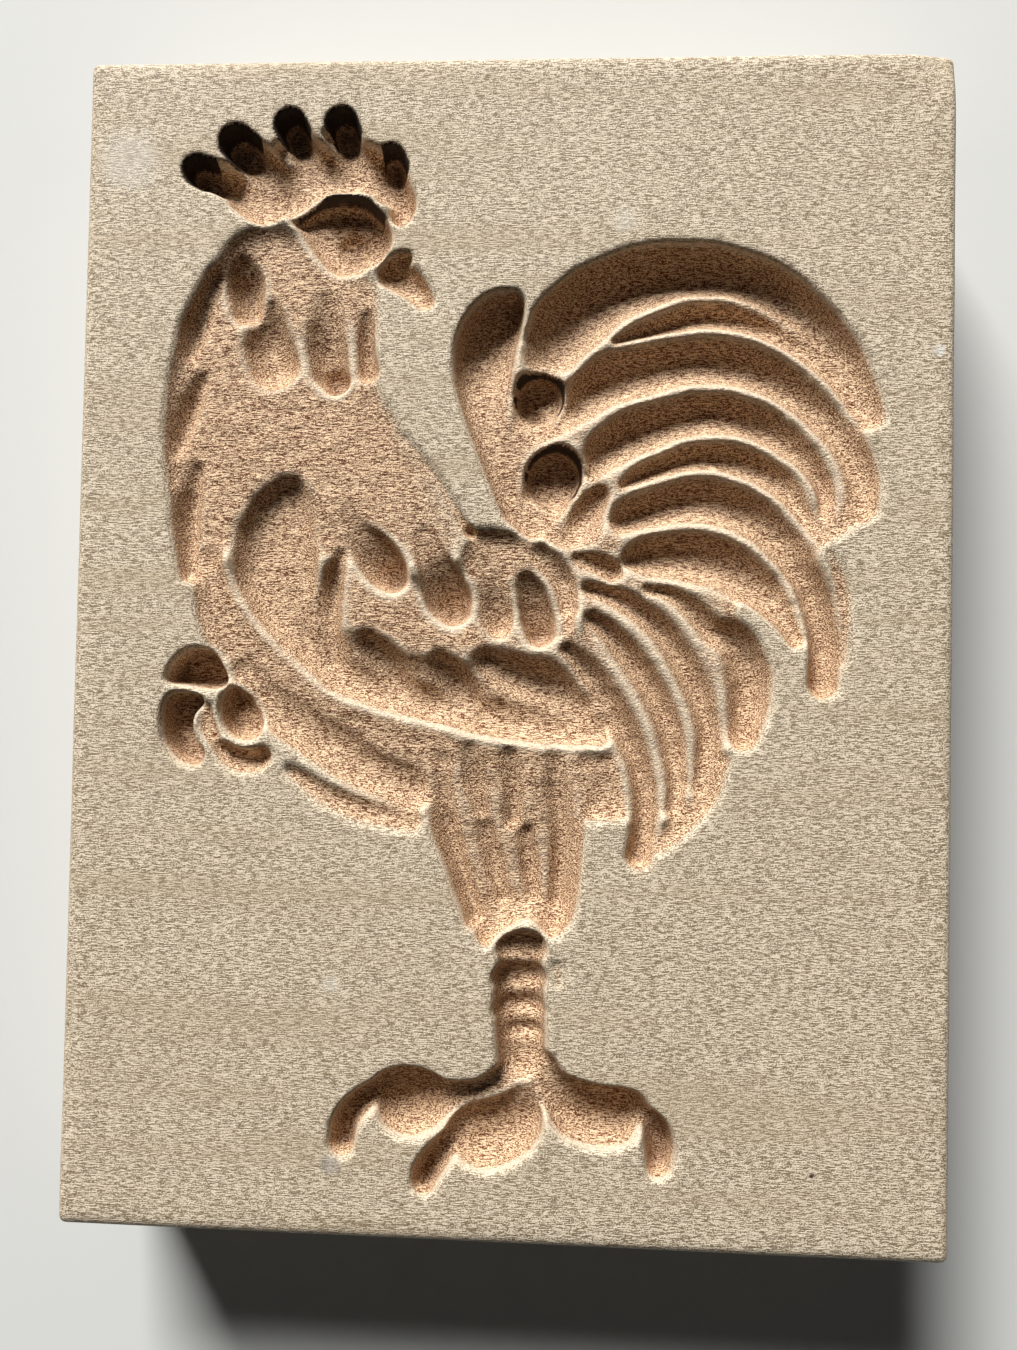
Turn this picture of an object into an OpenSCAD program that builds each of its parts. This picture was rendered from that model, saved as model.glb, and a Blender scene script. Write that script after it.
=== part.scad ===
// Springerle mould: one small board of close-grained wood with a rooster and a four-petalled
// flower cut into its face, pressed on dough to raise the picture.
// Millimetres. The back face rests on z = 0 with the origin at its centre, +Z comes out of
// the carved face, +Y runs up to the comb and +X to the tail.

/* [Board] */
// Width of the board, across the figure
board_w = 90; // [82:0.5:110]
// Height of the board, from foot to comb
board_h = 121.5; // [116:0.5:150]
// Thickness of the board
board_t = 20; // [12:0.5:30]
// Radius of the four upright corners
corner_r = 1; // [0.6:0.1:4]
// Width of the worn rounding along the edges of both faces
edge_round = 0.8; // [0.3:0.1:2]

/* [Figure] */
// Height of the rooster from the claws to the comb
figure_h = 112; // [90:1:114]
// Slope of the cut walls, so that the dough lets go
draft = 11; // [4:1:20]
// Depth of the comb at its tips
comb_depth = 4.8; // [2:0.1:6]
// Depth of the hollow around the eye
face_depth = 4.2; // [2:0.1:5.5]
// How far the pupil goes below that hollow
eye_depth = 0.7; // [0.3:0.1:1.2]
// Depth of the wattles and the ear
wattle_depth = 4.5; // [3:0.1:6]
// Depth of the neck, at its middle
neck_depth = 2.3; // [1:0.1:3.5]
// Depth of the hackle tips over the back
hackle_depth = 4.3; // [2.5:0.1:6]
// Depth of the wing at the shoulder
wing_depth = 4.8; // [2.5:0.1:6]
// Depth of the breast
breast_depth = 3.3; // [1.5:0.1:5]
// Depth of the thigh
thigh_depth = 3.6; // [2:0.1:5]
// Depth of the shank between its scales
shank_depth = 2.6; // [1.5:0.1:4]
// Depth of the toes at their knuckles
toe_depth = 4; // [2:0.1:6]
// Depth of the long tail feathers
tail_depth = 5; // [2.5:0.1:6.5]
// Depth of the small feathers at the root of the tail
covert_depth = 5.2; // [3:0.1:6.5]
// Depth of the flower's petals
petal_depth = 3.8; // [2:0.1:5]

/* [Hidden] */
$fn = 24;
// Height of the cutting shapes above the face
lid = 1;
// Sides of the round bottom of a cut
arc = 4;
// Angles at which the round end of a cut has its rings
end_angles = [38, 70];
// Fineness to which the cuts are set out
setting = 0.1;
// Height of the figure as it is drawn in the lists below
drawn_h = 112;
zoom = figure_h / drawn_h;

// Each gouge cut is a path of [x, y, half width, depth], drawn from the middle of the board.
comb_tips = [
    [[-33.2, 49.1, 1.3, 4.4], [-30.4, 48.3, 1.6, 4.4], [-27.5, 47.4, 2.2, 4.2]],
    [[-29.1, 52.3, 1.45, 4.8], [-27.2, 50.4, 1.7, 4.5], [-25.4, 48.6, 2.2, 4.2]],
    [[-23.5, 54.0, 1.3, 4.8], [-22.4, 52.0, 1.5, 4.5], [-21.4, 49.6, 2.2, 4.2]],
    [[-18.0, 54.0, 1.3, 4.8], [-17.2, 52.0, 1.4, 4.5], [-16.8, 49.6, 2.2, 4.2]],
    [[-12.7, 50.3, 1.1, 4.6], [-12.4, 48.5, 1.3, 4.4], [-12.8, 47.4, 1.8, 4.2]],
];
comb_base = [
    [[-27.6, 47.0, 2.6, 4.0], [-24.3, 47.6, 3.5, 4.2], [-20.5, 49.0, 2.9, 4.2],
     [-16.5, 49.2, 2.8, 4.2], [-13.4, 48.2, 2.0, 4.2]],
    [[-28.4, 46.9, 2.0, 3.8], [-26.2, 45.8, 2.3, 3.8], [-24.0, 47.2, 2.4, 4.0]],
    [[-12.2, 47.5, 1.3, 4.2], [-11.6, 45.6, 1.4, 3.8], [-11.7, 44.4, 1.2, 3.2]],
];
comb_notches = [[-24.2, 51.2, 0.8], [-19.1, 52.4, 0.7], [-14.1, 50.5, 0.7]];

face_outline = [
    [-23.6, 44.8], [-21.8, 46.7], [-18.5, 47.3], [-15.4, 46.9], [-13.1, 44.6], [-12.5, 42.4],
    [-13.0, 40.4], [-14.8, 38.7], [-17.5, 38.0], [-19.3, 38.6], [-21.0, 40.4], [-22.5, 42.8],
];
beak = [
    [[-12.4, 38.2, 1.6, 3.0], [-10.6, 37.1, 1.5, 2.6], [-9.0, 35.3, 1.0, 1.8]],
    [[-11.6, 39.3, 0.9, 2.4], [-11.0, 39.6, 0.7, 2.0]],
];
wattles = [
    [[-28.6, 40.2, 1.8, 3.6], [-28.6, 37.8, 2.5, 5.2], [-28.3, 35.4, 2.2, 4.4]],
    [[-25.4, 34.6, 1.4, 2.6], [-25.7, 31.8, 2.6, 4.4], [-24.9, 28.9, 2.9, 4.8]],
    [[-19.4, 35.0, 1.8, 2.0], [-19.4, 31.4, 2.3, 3.6], [-18.9, 28.2, 2.2, 4.6]],
    [[-15.2, 33.6, 0.8, 2.0], [-15.1, 30.6, 1.0, 3.0], [-14.8, 28.0, 1.2, 3.2]],
];

neck_outline = [
    [-26.5, 43.2], [-29.2, 41.9], [-31.3, 39.2], [-33.3, 35.6], [-35.0, 31.4], [-35.9, 27.0],
    [-36.2, 22.0], [-35.9, 17.5], [-35.1, 13.0], [-34.3, 9.0], [-33.0, 5.5], [-31.6, 6.5],
    [-28.0, 9.0], [-22.0, 9.0], [-16.0, 8.0], [-10.0, 7.5], [-5.5, 8.0], [-3.8, 11.2],
    [-6.0, 15.0], [-8.0, 18.0], [-10.5, 21.5], [-13.3, 26.0], [-13.8, 30.0], [-13.6, 34.0],
    [-14.0, 37.5], [-19.0, 40.5], [-23.0, 43.0],
];
saddle_outline = [
    [-3.8, 10.6], [-1.5, 11.6], [2.5, 10.8], [5.8, 9.2], [7.8, 6.5], [7.8, 3.4], [6.0, 0.5],
    [2.0, -1.0], [-3.0, -1.0], [-6.0, 4.0],
];
hackles = [
    [[-30.2, 39.0, 1.3, 2.8], [-31.8, 35.5, 1.7, 3.4], [-33.1, 32.0, 1.5, 3.2], [-33.9, 29.8, 1.0, 2.4]],
    [[-32.6, 27.2, 1.2, 2.8], [-33.7, 24.4, 1.6, 3.4], [-34.5, 21.6, 1.3, 3.2], [-34.9, 19.4, 0.9, 2.4]],
    [[-32.8, 17.6, 1.1, 2.8], [-33.4, 14.0, 1.6, 3.4], [-33.4, 10.0, 1.4, 3.2], [-33.1, 6.6, 1.0, 2.4]],
    [[-17.4, 13.0, 0.9, 1.6], [-14.8, 10.0, 2.0, 3.0], [-12.3, 7.4, 2.2, 4.8]],
    [[-8.8, 11.2, 1.2, 1.4], [-7.2, 7.8, 2.0, 3.4], [-6.0, 4.9, 2.3, 4.8]],
    [[-1.8, 8.4, 1.2, 1.6], [-1.3, 5.4, 1.8, 3.0], [-0.9, 2.9, 1.9, 3.8]],
    [[2.3, 5.6, 1.0, 3.4], [3.1, 3.2, 1.5, 4.6], [3.6, 1.4, 1.4, 4.4]],
    [[3.6, 9.0, 1.3, 2.0], [5.8, 6.2, 1.4, 2.9], [6.3, 3.6, 1.1, 2.8]],
];

wing_outline = [
    [-29.5, 10.0], [-28.0, 14.5], [-24.0, 17.5], [-20.0, 15.0], [-16.0, 10.0], [-9.0, 6.5],
    [-2.0, 6.0], [4.0, 6.0], [7.0, 3.0], [8.5, -2.0], [11.0, -7.0], [11.5, -10.0], [5.0, -10.0],
    [-3.0, -9.0], [-12.0, -7.0], [-19.0, -4.0], [-24.0, 1.5], [-28.0, 6.0],
];
wing_cuts = [
    [[-23.4, 15.6, 2.2, 5.2], [-24.7, 12.3, 3.8, 5.2], [-24.6, 8.4, 4.2, 4.4], [-22.8, 4.2, 3.8, 3.4],
     [-20.6, 0.6, 2.8, 2.8]],
    [[-17.7, 8.2, 0.8, 3.2], [-18.4, 5.6, 1.6, 4.4], [-18.6, 2.6, 2.0, 4.2], [-17.8, -0.4, 1.7, 3.2]],
    [[-21.0, 0.0, 2.8, 3.0], [-16.0, -2.8, 2.9, 3.2], [-10.0, -4.8, 2.8, 3.4], [-3.0, -5.8, 3.0, 3.6],
     [4.0, -6.3, 3.3, 3.6], [9.0, -8.0, 2.2, 3.2]],
    [[-13.6, 0.2, 0.9, 2.8], [-12.2, -1.6, 1.3, 4.4], [-10.8, -3.8, 1.4, 4.4], [-9.4, -5.6, 1.0, 3.6]],
    [[-6.6, -2.2, 1.0, 3.0], [-5.2, -3.8, 1.6, 4.6], [-3.2, -5.4, 1.5, 4.4], [0.2, -6.6, 1.1, 3.8]],
    [[-2.0, -1.6, 1.1, 3.0], [1.5, -2.4, 1.9, 4.8], [4.8, -3.4, 1.9, 4.6], [7.7, -5.3, 1.4, 3.7]],
];
breast = [
    [[-31.0, 8.0, 1.4, 2.6], [-30.0, 4.8, 2.4, 3.2], [-28.8, 1.8, 3.0, 3.3], [-26.3, -1.6, 3.6, 3.3],
     [-23.4, -4.9, 3.8, 3.2], [-20.2, -8.0, 4.1, 3.0], [-15.5, -10.6, 4.4, 2.7], [-10.0, -12.7, 4.6, 2.4]],
    [[-21.3, -13.5, 0.8, 1.6], [-18.0, -15.7, 1.5, 1.8], [-14.0, -17.3, 1.6, 1.8], [-9.3, -18.2, 1.4, 1.6]],
];

thigh_outline = [
    [-8.4, -8.4], [-8.2, -15.0], [-7.3, -19.5], [-5.2, -24.0], [-3.3, -28.0], [-1.5, -31.0],
    [0.5, -29.8], [3.0, -28.4], [5.2, -30.0], [7.2, -28.4], [8.2, -25.0], [8.6, -20.0],
    [8.5, -16.0], [9.0, -9.8], [0.0, -8.6],
];
thigh_cuts = [
    [[-5.8, -13.0, 2.6, 3.4], [-5.2, -18.0, 2.4, 3.6], [-3.6, -23.5, 2.1, 3.4], [-1.8, -28.8, 1.4, 2.8]],
    [[-1.8, -12.0, 2.5, 3.4], [-1.4, -18.0, 2.4, 3.6], [-0.2, -24.0, 2.0, 3.6], [0.8, -27.4, 1.3, 3.2]],
    [[2.2, -12.0, 2.3, 3.4], [2.2, -18.0, 2.2, 3.6], [2.4, -23.0, 1.9, 3.6], [2.9, -26.2, 1.3, 3.2]],
    [[5.9, -13.0, 2.4, 3.4], [6.1, -18.0, 2.2, 3.6], [6.1, -23.5, 1.9, 3.6], [5.6, -27.2, 1.5, 3.0]],
];
vent_outline = [
    [7.8, -11.0], [8.0, -14.5], [8.2, -17.7], [10.6, -18.0], [13.1, -17.6], [13.2, -14.0],
    [12.6, -10.8], [10.0, -10.4],
];
shank = [[2.2, -29.5, 2.2, 2.8], [2.1, -34.0, 2.7, 2.6], [2.3, -38.0, 2.5, 2.6], [2.6, -42.5, 2.4, 2.8]];
scales = [
    [[1.2, -30.4, 0.8, 3.0], [3.6, -30.2, 0.8, 3.0]],
    [[0.2, -33.0, 1.0, 3.0], [3.6, -32.5, 0.8, 3.2]],
    [[0.3, -36.3, 0.9, 3.0], [3.8, -35.8, 0.8, 3.2]],
    [[0.9, -38.9, 0.8, 3.2], [3.9, -39.1, 0.9, 3.1]],
    [[5.6, -33.2, 0.7, 0.6], [6.0, -33.9, 0.7, 0.6]],
];
toes = [
    [[2.0, -43.6, 1.6, 2.6], [-1.5, -45.9, 1.4, 2.4], [-5.5, -46.8, 2.0, 3.2], [-8.6, -47.0, 3.3, 4.0],
     [-10.2, -46.4, 2.4, 3.6]],
    [[3.1, -46.0, 1.3, 2.6], [1.8, -48.8, 2.8, 3.6], [-0.8, -50.2, 3.1, 4.0], [-2.6, -50.4, 2.4, 3.6]],
    [[4.3, -43.0, 1.6, 2.8], [5.6, -45.2, 1.9, 3.0], [8.4, -47.3, 2.7, 3.8], [11.4, -47.8, 2.8, 4.2],
     [12.8, -47.4, 2.3, 4.0]],
    [[12.2, -46.2, 1.3, 4.4], [13.3, -46.6, 1.2, 4.2]],
];
claws = [
    [[-11.0, -46.0, 1.5, 3.4], [-13.6, -47.2, 1.2, 3.4], [-15.2, -49.0, 1.2, 3.6], [-15.6, -51.3, 1.2, 3.6]],
    [[-3.2, -50.2, 1.6, 3.4], [-5.2, -51.7, 1.3, 3.4], [-6.6, -53.6, 1.25, 3.6], [-7.1, -55.0, 1.1, 3.4]],
    [[14.5, -47.4, 1.0, 3.2], [16.0, -48.9, 1.2, 3.8], [16.6, -50.6, 1.25, 3.9], [16.6, -52.3, 1.2, 3.6]],
];

petals = [
    [[-33.0, -3.8, 1.2, 3.0], [-31.5, -3.1, 1.5, 3.8], [-30.4, -4.0, 1.4, 3.4], [-30.2, -5.2, 1.0, 2.4]],
    [[-33.9, -7.4, 1.2, 3.4], [-34.0, -9.5, 1.5, 3.4], [-32.6, -12.1, 1.3, 3.2]],
    [[-33.4, -7.0, 1.2, 2.8], [-31.2, -6.7, 1.0, 2.4]],
    [[-28.6, -6.6, 1.1, 3.6], [-27.4, -8.3, 1.7, 3.8], [-27.5, -9.3, 1.5, 3.2]],
    [[-30.2, -9.8, 0.7, 1.8], [-28.8, -11.5, 1.2, 2.4], [-26.4, -12.3, 1.4, 2.8], [-25.5, -12.3, 1.3, 2.6]],
];

root_outline = [
    [-1.4, 13.0], [1.0, 11.3], [5.0, 9.6], [7.5, 7.5], [8.5, 3.0], [12.0, 5.0], [13.5, 8.0],
    [12.8, 12.0], [13.0, 17.0], [11.0, 22.0], [9.0, 27.0], [6.0, 29.0], [3.0, 31.0], [1.0, 29.0],
    [-3.0, 25.0], [-3.4, 20.0], [-2.4, 16.0],
];
tail_outline = [
    [3.0, 33.0], [9.0, 36.0], [20.0, 38.0], [28.0, 35.0], [33.0, 30.0], [36.0, 24.0], [36.0, 16.0],
    [33.0, 12.0], [30.5, 7.0], [27.5, 5.0], [23.8, 4.4], [24.5, 0.0], [25.0, -6.0], [22.5, -10.0],
    [19.5, -14.0], [16.0, -18.0], [13.5, -14.0], [11.5, -9.0], [7.5, -2.0], [7.8, 4.0], [5.5, 9.5],
    [1.0, 13.0], [-1.5, 20.0], [-2.5, 27.0], [-0.5, 31.0],
];
tips_outline = [
    [30.0, 20.0], [33.0, 21.8], [36.0, 20.5], [37.3, 16.0], [36.9, 13.0], [35.0, 12.0],
    [33.4, 10.8], [31.6, 10.2], [30.2, 13.0], [28.6, 17.0],
];
coverts = [
    [[0.0, 34.8, 1.3, 4.6], [-1.2, 33.4, 2.4, 5.2], [-2.3, 31.0, 3.0, 5.2], [-2.6, 28.0, 2.9, 4.4],
     [-2.2, 25.0, 2.8, 3.4], [-1.2, 21.5, 2.5, 2.7], [0.2, 17.5, 2.1, 2.6], [1.6, 14.0, 1.9, 2.5],
     [3.0, 12.0, 1.4, 2.4]],
    [[3.0, 25.6, 2.2, 5.6], [2.6, 23.6, 2.0, 4.2], [1.8, 21.8, 1.8, 3.0], [0.8, 20.2, 1.5, 2.4]],
    [[4.6, 17.3, 2.6, 5.6], [4.0, 15.4, 2.4, 4.2], [3.2, 13.8, 2.0, 3.0], [2.4, 12.6, 1.5, 2.4]],
    [[9.3, 15.2, 1.3, 3.8], [8.3, 13.6, 1.8, 4.2], [7.2, 12.0, 1.7, 3.6], [6.4, 11.0, 1.2, 2.6]],
    [[7.4, 8.7, 0.8, 2.2], [9.4, 8.2, 1.2, 2.8], [11.0, 7.4, 1.2, 3.0]],
];
sickles = [
    [[3.2, 28.2, 1.8, 2.8], [4.4, 30.6, 3.2, 4.2], [6.4, 33.2, 3.8, 5.0], [9.9, 36.0, 3.6, 5.4],
     [14.7, 37.9, 3.2, 5.2], [20.6, 38.4, 2.6, 5.0], [26.0, 36.9, 2.4, 4.6], [30.2, 34.0, 2.2, 4.2],
     [33.3, 30.2, 2.1, 3.6], [35.4, 26.4, 1.9, 2.8], [36.6, 23.6, 1.6, 1.8]],
    [[10.8, 31.2, 0.4, 2.4], [13.0, 32.2, 0.9, 3.4], [16.0, 33.3, 1.4, 4.2], [20.2, 34.3, 1.8, 4.6],
     [25.2, 33.4, 1.7, 4.4], [29.4, 31.3, 1.5, 3.8], [33.0, 28.0, 1.3, 3.0], [35.4, 24.6, 1.1, 2.0]],
    [[3.9, 21.2, 0.7, 2.4], [5.4, 22.9, 1.4, 3.2], [7.2, 24.8, 2.1, 4.2], [9.4, 26.8, 2.8, 4.8],
     [13.4, 28.2, 3.0, 5.0], [20.2, 29.4, 2.8, 5.0], [26.4, 28.0, 2.5, 4.6], [31.2, 24.5, 2.2, 4.0],
     [34.2, 20.9, 1.9, 3.4], [35.8, 17.2, 1.7, 2.6], [36.1, 14.2, 1.5, 1.9]],
    [[8.7, 17.8, 1.1, 3.0], [10.0, 19.9, 2.1, 4.2], [13.6, 22.0, 2.7, 4.8], [20.0, 23.9, 2.5, 4.8],
     [25.0, 23.1, 2.3, 4.6], [29.0, 20.8, 2.0, 4.2], [31.5, 18.0, 1.4, 4.0], [32.5, 15.6, 1.1, 3.8],
     [32.4, 13.8, 0.9, 2.6]],
    [[12.0, 16.4, 0.5, 2.4], [14.0, 17.6, 1.2, 3.8], [20.0, 19.5, 1.8, 4.4], [25.0, 18.6, 1.9, 4.4],
     [28.6, 16.2, 1.7, 3.8], [30.5, 13.2, 1.2, 2.8], [31.3, 11.8, 0.8, 1.8]],
    [[11.9, 12.8, 1.5, 3.6], [13.4, 13.5, 2.0, 4.2], [19.5, 14.9, 2.7, 4.8], [24.3, 13.7, 2.6, 4.6],
     [27.7, 11.2, 2.3, 4.2], [29.9, 7.9, 1.9, 4.0], [31.7, 4.0, 1.8, 4.0], [32.4, 0.0, 1.65, 3.8],
     [32.2, -3.7, 1.6, 3.4]],
    [[13.0, 8.7, 1.2, 3.6], [15.0, 9.1, 2.3, 4.4], [18.5, 9.1, 2.9, 4.7], [21.8, 8.3, 2.9, 4.6],
     [25.4, 6.4, 2.5, 4.0], [28.0, 3.9, 1.9, 3.2], [29.6, 1.0, 1.2, 2.4]],
];
low_feathers = [
    [[14.4, 5.7, 0.5, 2.0], [17.0, 5.2, 0.9, 2.8], [19.2, 3.6, 1.3, 3.2], [21.2, 1.6, 1.6, 3.4],
     [23.4, 0.4, 2.1, 3.6], [24.7, -2.6, 2.4, 3.8], [24.8, -5.8, 2.2, 3.8], [24.2, -8.9, 1.8, 3.2]],
    [[8.6, 5.6, 0.8, 2.6], [11.2, 4.9, 1.2, 3.2], [14.2, 3.2, 1.5, 3.6], [16.7, 0.8, 1.7, 3.8],
     [18.6, -2.2, 1.8, 3.8], [20.0, -5.2, 1.8, 3.8], [20.8, -8.4, 1.7, 3.6], [20.8, -11.4, 1.6, 3.2],
     [20.2, -14.4, 1.4, 2.6]],
    [[9.0, 2.6, 0.8, 2.6], [10.8, 1.2, 1.4, 3.4], [13.2, -1.6, 1.7, 3.8], [15.2, -4.6, 1.8, 3.9],
     [16.7, -7.8, 1.8, 3.9], [17.5, -11.0, 1.7, 3.6], [17.9, -14.2, 1.5, 3.2], [17.7, -16.8, 1.3, 2.6]],
    [[6.4, -0.8, 0.9, 2.6], [8.4, -2.8, 1.7, 3.4], [10.4, -5.6, 2.0, 3.8], [12.4, -8.8, 2.0, 4.0],
     [13.9, -12.0, 1.8, 4.0], [14.6, -15.2, 1.7, 3.9], [14.6, -18.6, 1.65, 3.6], [14.1, -21.4, 1.5, 3.2]],
    [[22.0, -11.6, 1.0, 1.5], [20.4, -15.4, 1.4, 1.7], [17.6, -18.6, 1.3, 1.6], [15.8, -20.6, 0.8, 1.2]],
    [[32.6, 9.6, 0.5, 0.7], [33.7, 6.4, 0.9, 1.0], [34.1, 2.5, 0.8, 1.0], [33.9, -1.5, 0.7, 0.9]],
];

mould_board();

// Smooth curve through a list of points, open at its ends
function bend(a, b, c, d, t) =
    0.5 * (2 * b + (c - a) * t + (2 * a - 5 * b + 4 * c - d) * t * t + (3 * b - a - 3 * c + d) * t * t * t);
function open_curve(p, n) =
    let (last = len(p) - 1, q = concat([2 * p[0] - p[1]], p, [2 * p[last] - p[last - 1]]))
    concat([for (i = [0 : last - 1], k = [0 : n - 1]) bend(q[i], q[i + 1], q[i + 2], q[i + 3], k / n)], [p[last]]);
function closed_curve(p, n) =
    let (m = len(p))
    [for (i = [0 : m - 1], k = [0 : n - 1])
        bend(p[(i + m - 1) % m], p[i], p[(i + 1) % m], p[(i + 2) % m], k / n)];
function middle(p) = [for (k = [1 : len(p)]) 1] * p / len(p);
function heading(p, i) =
    let (a = p[max(i - 1, 0)], b = p[min(i + 1, len(p) - 1)])
    atan2(b[1] - a[1], b[0] - a[0]);

// Outline across a cut: sloped walls down to a share of its depth, then a round bottom
function section(w, wall, bulge) =
    let (out = w + (wall + lid) * tan(draft))
    concat(
        [[-out, lid]],
        [for (k = [0 : arc]) [-w * cos(180 * k / arc), -wall - bulge * sin(180 * k / arc)]],
        [[out, lid]]
    );

// Ring of points of that outline across the path; at an end it leans out with the wall
function set_out(v) = round(v / setting) * setting;
function ring(q, turn, angle, wall, bulge) =
    let (out = 1 + (wall + lid) * tan(draft) / q[2])
    [
        for (v = section(q[2], wall, bulge * cos(angle)))
            let (
                side = v[0] * cos(angle),
                ahead = q[2] * sin(angle) * (v[1] > 0 ? out : 1)
            )
            [
                set_out(q[0] + ahead * cos(turn) + side * sin(turn)),
                set_out(q[1] + ahead * sin(turn) - side * cos(turn)),
                set_out(v[1]),
            ]
    ];

// One cut of the gouge along a path, with round ends
module gouge(path, share, depth_ratio, steps = 1) {
    c = open_curve(path, steps);
    n = len(c) - 1;
    stations = concat(
        [[0, -end_angles[1]], [0, -end_angles[0]]],
        [for (i = [0 : n]) [i, 0]],
        [for (a = end_angles) [n, a]]
    );
    rings = [
        for (s = stations)
            let (q = c[s[0]], deep = q[3] * depth_ratio)
            ring(q, heading(c, s[0]), s[1], deep * share, deep * (1 - share))
    ];
    m = arc + 3;
    last = len(rings) - 1;
    polyhedron(
        [for (r = rings) each r],
        concat(
            [[for (j = [m - 1 : -1 : 0]) j]],
            [for (i = [0 : last - 1], j = [0 : m - 1])
                [i * m + j, i * m + (j + 1) % m, (i + 1) * m + (j + 1) % m, (i + 1) * m + j]],
            [[for (j = [0 : m - 1]) last * m + j]]
        ),
        convexity = 6
    );
}

module gouges(paths, share, depth_ratio, steps = 1) {
    for (p = paths)
        gouge(p, share, depth_ratio, steps);
}

// Hollow inside an outline: a rounded wall and a floor that may lean sideways
module scoop(outline, wall, floor_depth, lean = 0) {
    pts = closed_curve(outline, 2);
    c = middle(pts);
    reach = norm([for (v = [0, 1]) max([for (q = pts) abs(q[v] - c[v])])]) / sqrt(2);
    mid = 1 - 0.29 * wall / reach;
    foot = 1 - wall / reach;
    translate([c[0], c[1], 0])
        multmatrix([[1, 0, 0, 0], [0, 1, 0, 0], [lean, 0, 1, 0]]) {
            linear_extrude(lid)
                polygon([for (q = pts) q - c]);
            mirror([0, 0, 1]) {
                linear_extrude(floor_depth * 0.71, scale = mid)
                    polygon([for (q = pts) q - c]);
                translate([0, 0, floor_depth * 0.6])
                    linear_extrude(floor_depth * 0.4, scale = foot / mid)
                        polygon([for (q = pts) (q - c) * mid * 0.995]);
            }
        }
}

// Small pit with a round floor
module pit(x, y, r, depth) {
    hull() {
        translate([x, y, lid])
            cylinder(h = 0.1, r = r + lid * tan(draft), $fn = 12);
        translate([x, y, -depth * 0.6])
            cylinder(h = 0.1, r = r, $fn = 12);
        translate([x, y, -depth])
            cylinder(h = 0.1, r = r * 0.6, $fn = 12);
    }
}

module comb() {
    gouges(comb_tips, 0.45, comb_depth / 4.8);
    gouges(comb_base, 0.2, comb_depth / 4.8, 2);
    for (q = comb_notches)
        pit(q[0], q[1], q[2], comb_depth / 2);
}

module head() {
    scoop(face_outline, 2.2, face_depth);
    hull() {
        pit(-17.7, 42.6, 1.4, face_depth + eye_depth);
        pit(-17.5, 41.9, 1.4, face_depth + eye_depth);
    }
    gouges(beak, 0.2, face_depth / 4.2);
    gouges(wattles, 0.3, wattle_depth / 4.5);
    pit(-18.4, 27.2, 1.4, wattle_depth + 0.6);
}

module neck() {
    scoop(neck_outline, 3, neck_depth, 0.06);
    scoop(saddle_outline, 1.4, neck_depth);
    gouges(hackles, 0.3, hackle_depth / 4.3);
}

module wing() {
    scoop(wing_outline, 1.5, wing_depth / 2);
    gouges(wing_cuts, 0.25, wing_depth / 4.8, 2);
}

module body() {
    gouges(breast, 0.05, breast_depth / 3.3);
    scoop(thigh_outline, 2.6, thigh_depth * 5 / 6);
    gouges(thigh_cuts, 0.3, thigh_depth / 3.6);
    scoop(vent_outline, 0.9, thigh_depth * 5 / 9);
}

module leg() {
    gouge(shank, 0.2, shank_depth / 2.6);
    gouges(scales, 0.05, shank_depth / 2.6);
    gouges(toes, 0.2, toe_depth / 4);
    gouges(claws, 0.35, toe_depth / 4);
}

module tail() {
    scoop(root_outline, 1.6, covert_depth * 0.35);
    scoop(tail_outline, 1, tail_depth * 0.21);
    scoop(tips_outline, 1.2, tail_depth * 0.24);
    gouges(coverts, 0.35, covert_depth / 5.2);
    gouges(sickles, 0.17, tail_depth / 5, 2);
    gouges(low_feathers, 0.17, tail_depth / 5);
}

module flower() {
    gouges(petals, 0.38, petal_depth / 3.8);
    pit(-30.4, -9.7, 0.5, petal_depth / 4);
}

// Rounded outline of the board at one height, pulled in by some inset
function plate(inset, z) = [
    for (k = [0 : 3], a = [0 : 30 : 90])
        let (
            x = board_w / 2 - corner_r - inset,
            y = board_h / 2 - corner_r - inset
        )
        [
            (k == 0 || k == 3 ? x : -x) + corner_r * cos(90 * k + a),
            (k < 2 ? y : -y) + corner_r * sin(90 * k + a),
            z,
        ]
];

// The board before it is carved, with its edges worn round
module blank() {
    e = edge_round;
    steps = [[e, 0], [0.3 * e, 0.3 * e], [0, e]];
    points = [for (q = steps, z = [q[1], board_t - q[1]]) each plate(q[0], z)];
    hull()
        polyhedron(points, [for (i = [0 : len(points) - 3]) [i, i + 1, i + 2]]);
}

module mould_board() {
    color([0.8, 0.68, 0.5])
        difference() {
            blank();
            translate([0, 0, board_t])
                scale([zoom, zoom, 1]) {
                    comb();
                    head();
                    neck();
                    wing();
                    body();
                    leg();
                    tail();
                    flower();
                }
        }
}
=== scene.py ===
"""Looks of a springerle mould: one small board of pale wood with a rooster and a flower carved into it.

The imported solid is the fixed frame. The board is remade here as one fine surface that carries every
gouge cut, the worn edges and the marks of the tools, and it is dressed as bare pear wood.
Lengths of the carving and the board are millimetres from the middle of the face. The stage and the meshes
are in metres.
"""
import logging
import math
from dataclasses import dataclass, field
from enum import Enum

import bpy
import numpy as np
from mathutils import Matrix, Vector


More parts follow.
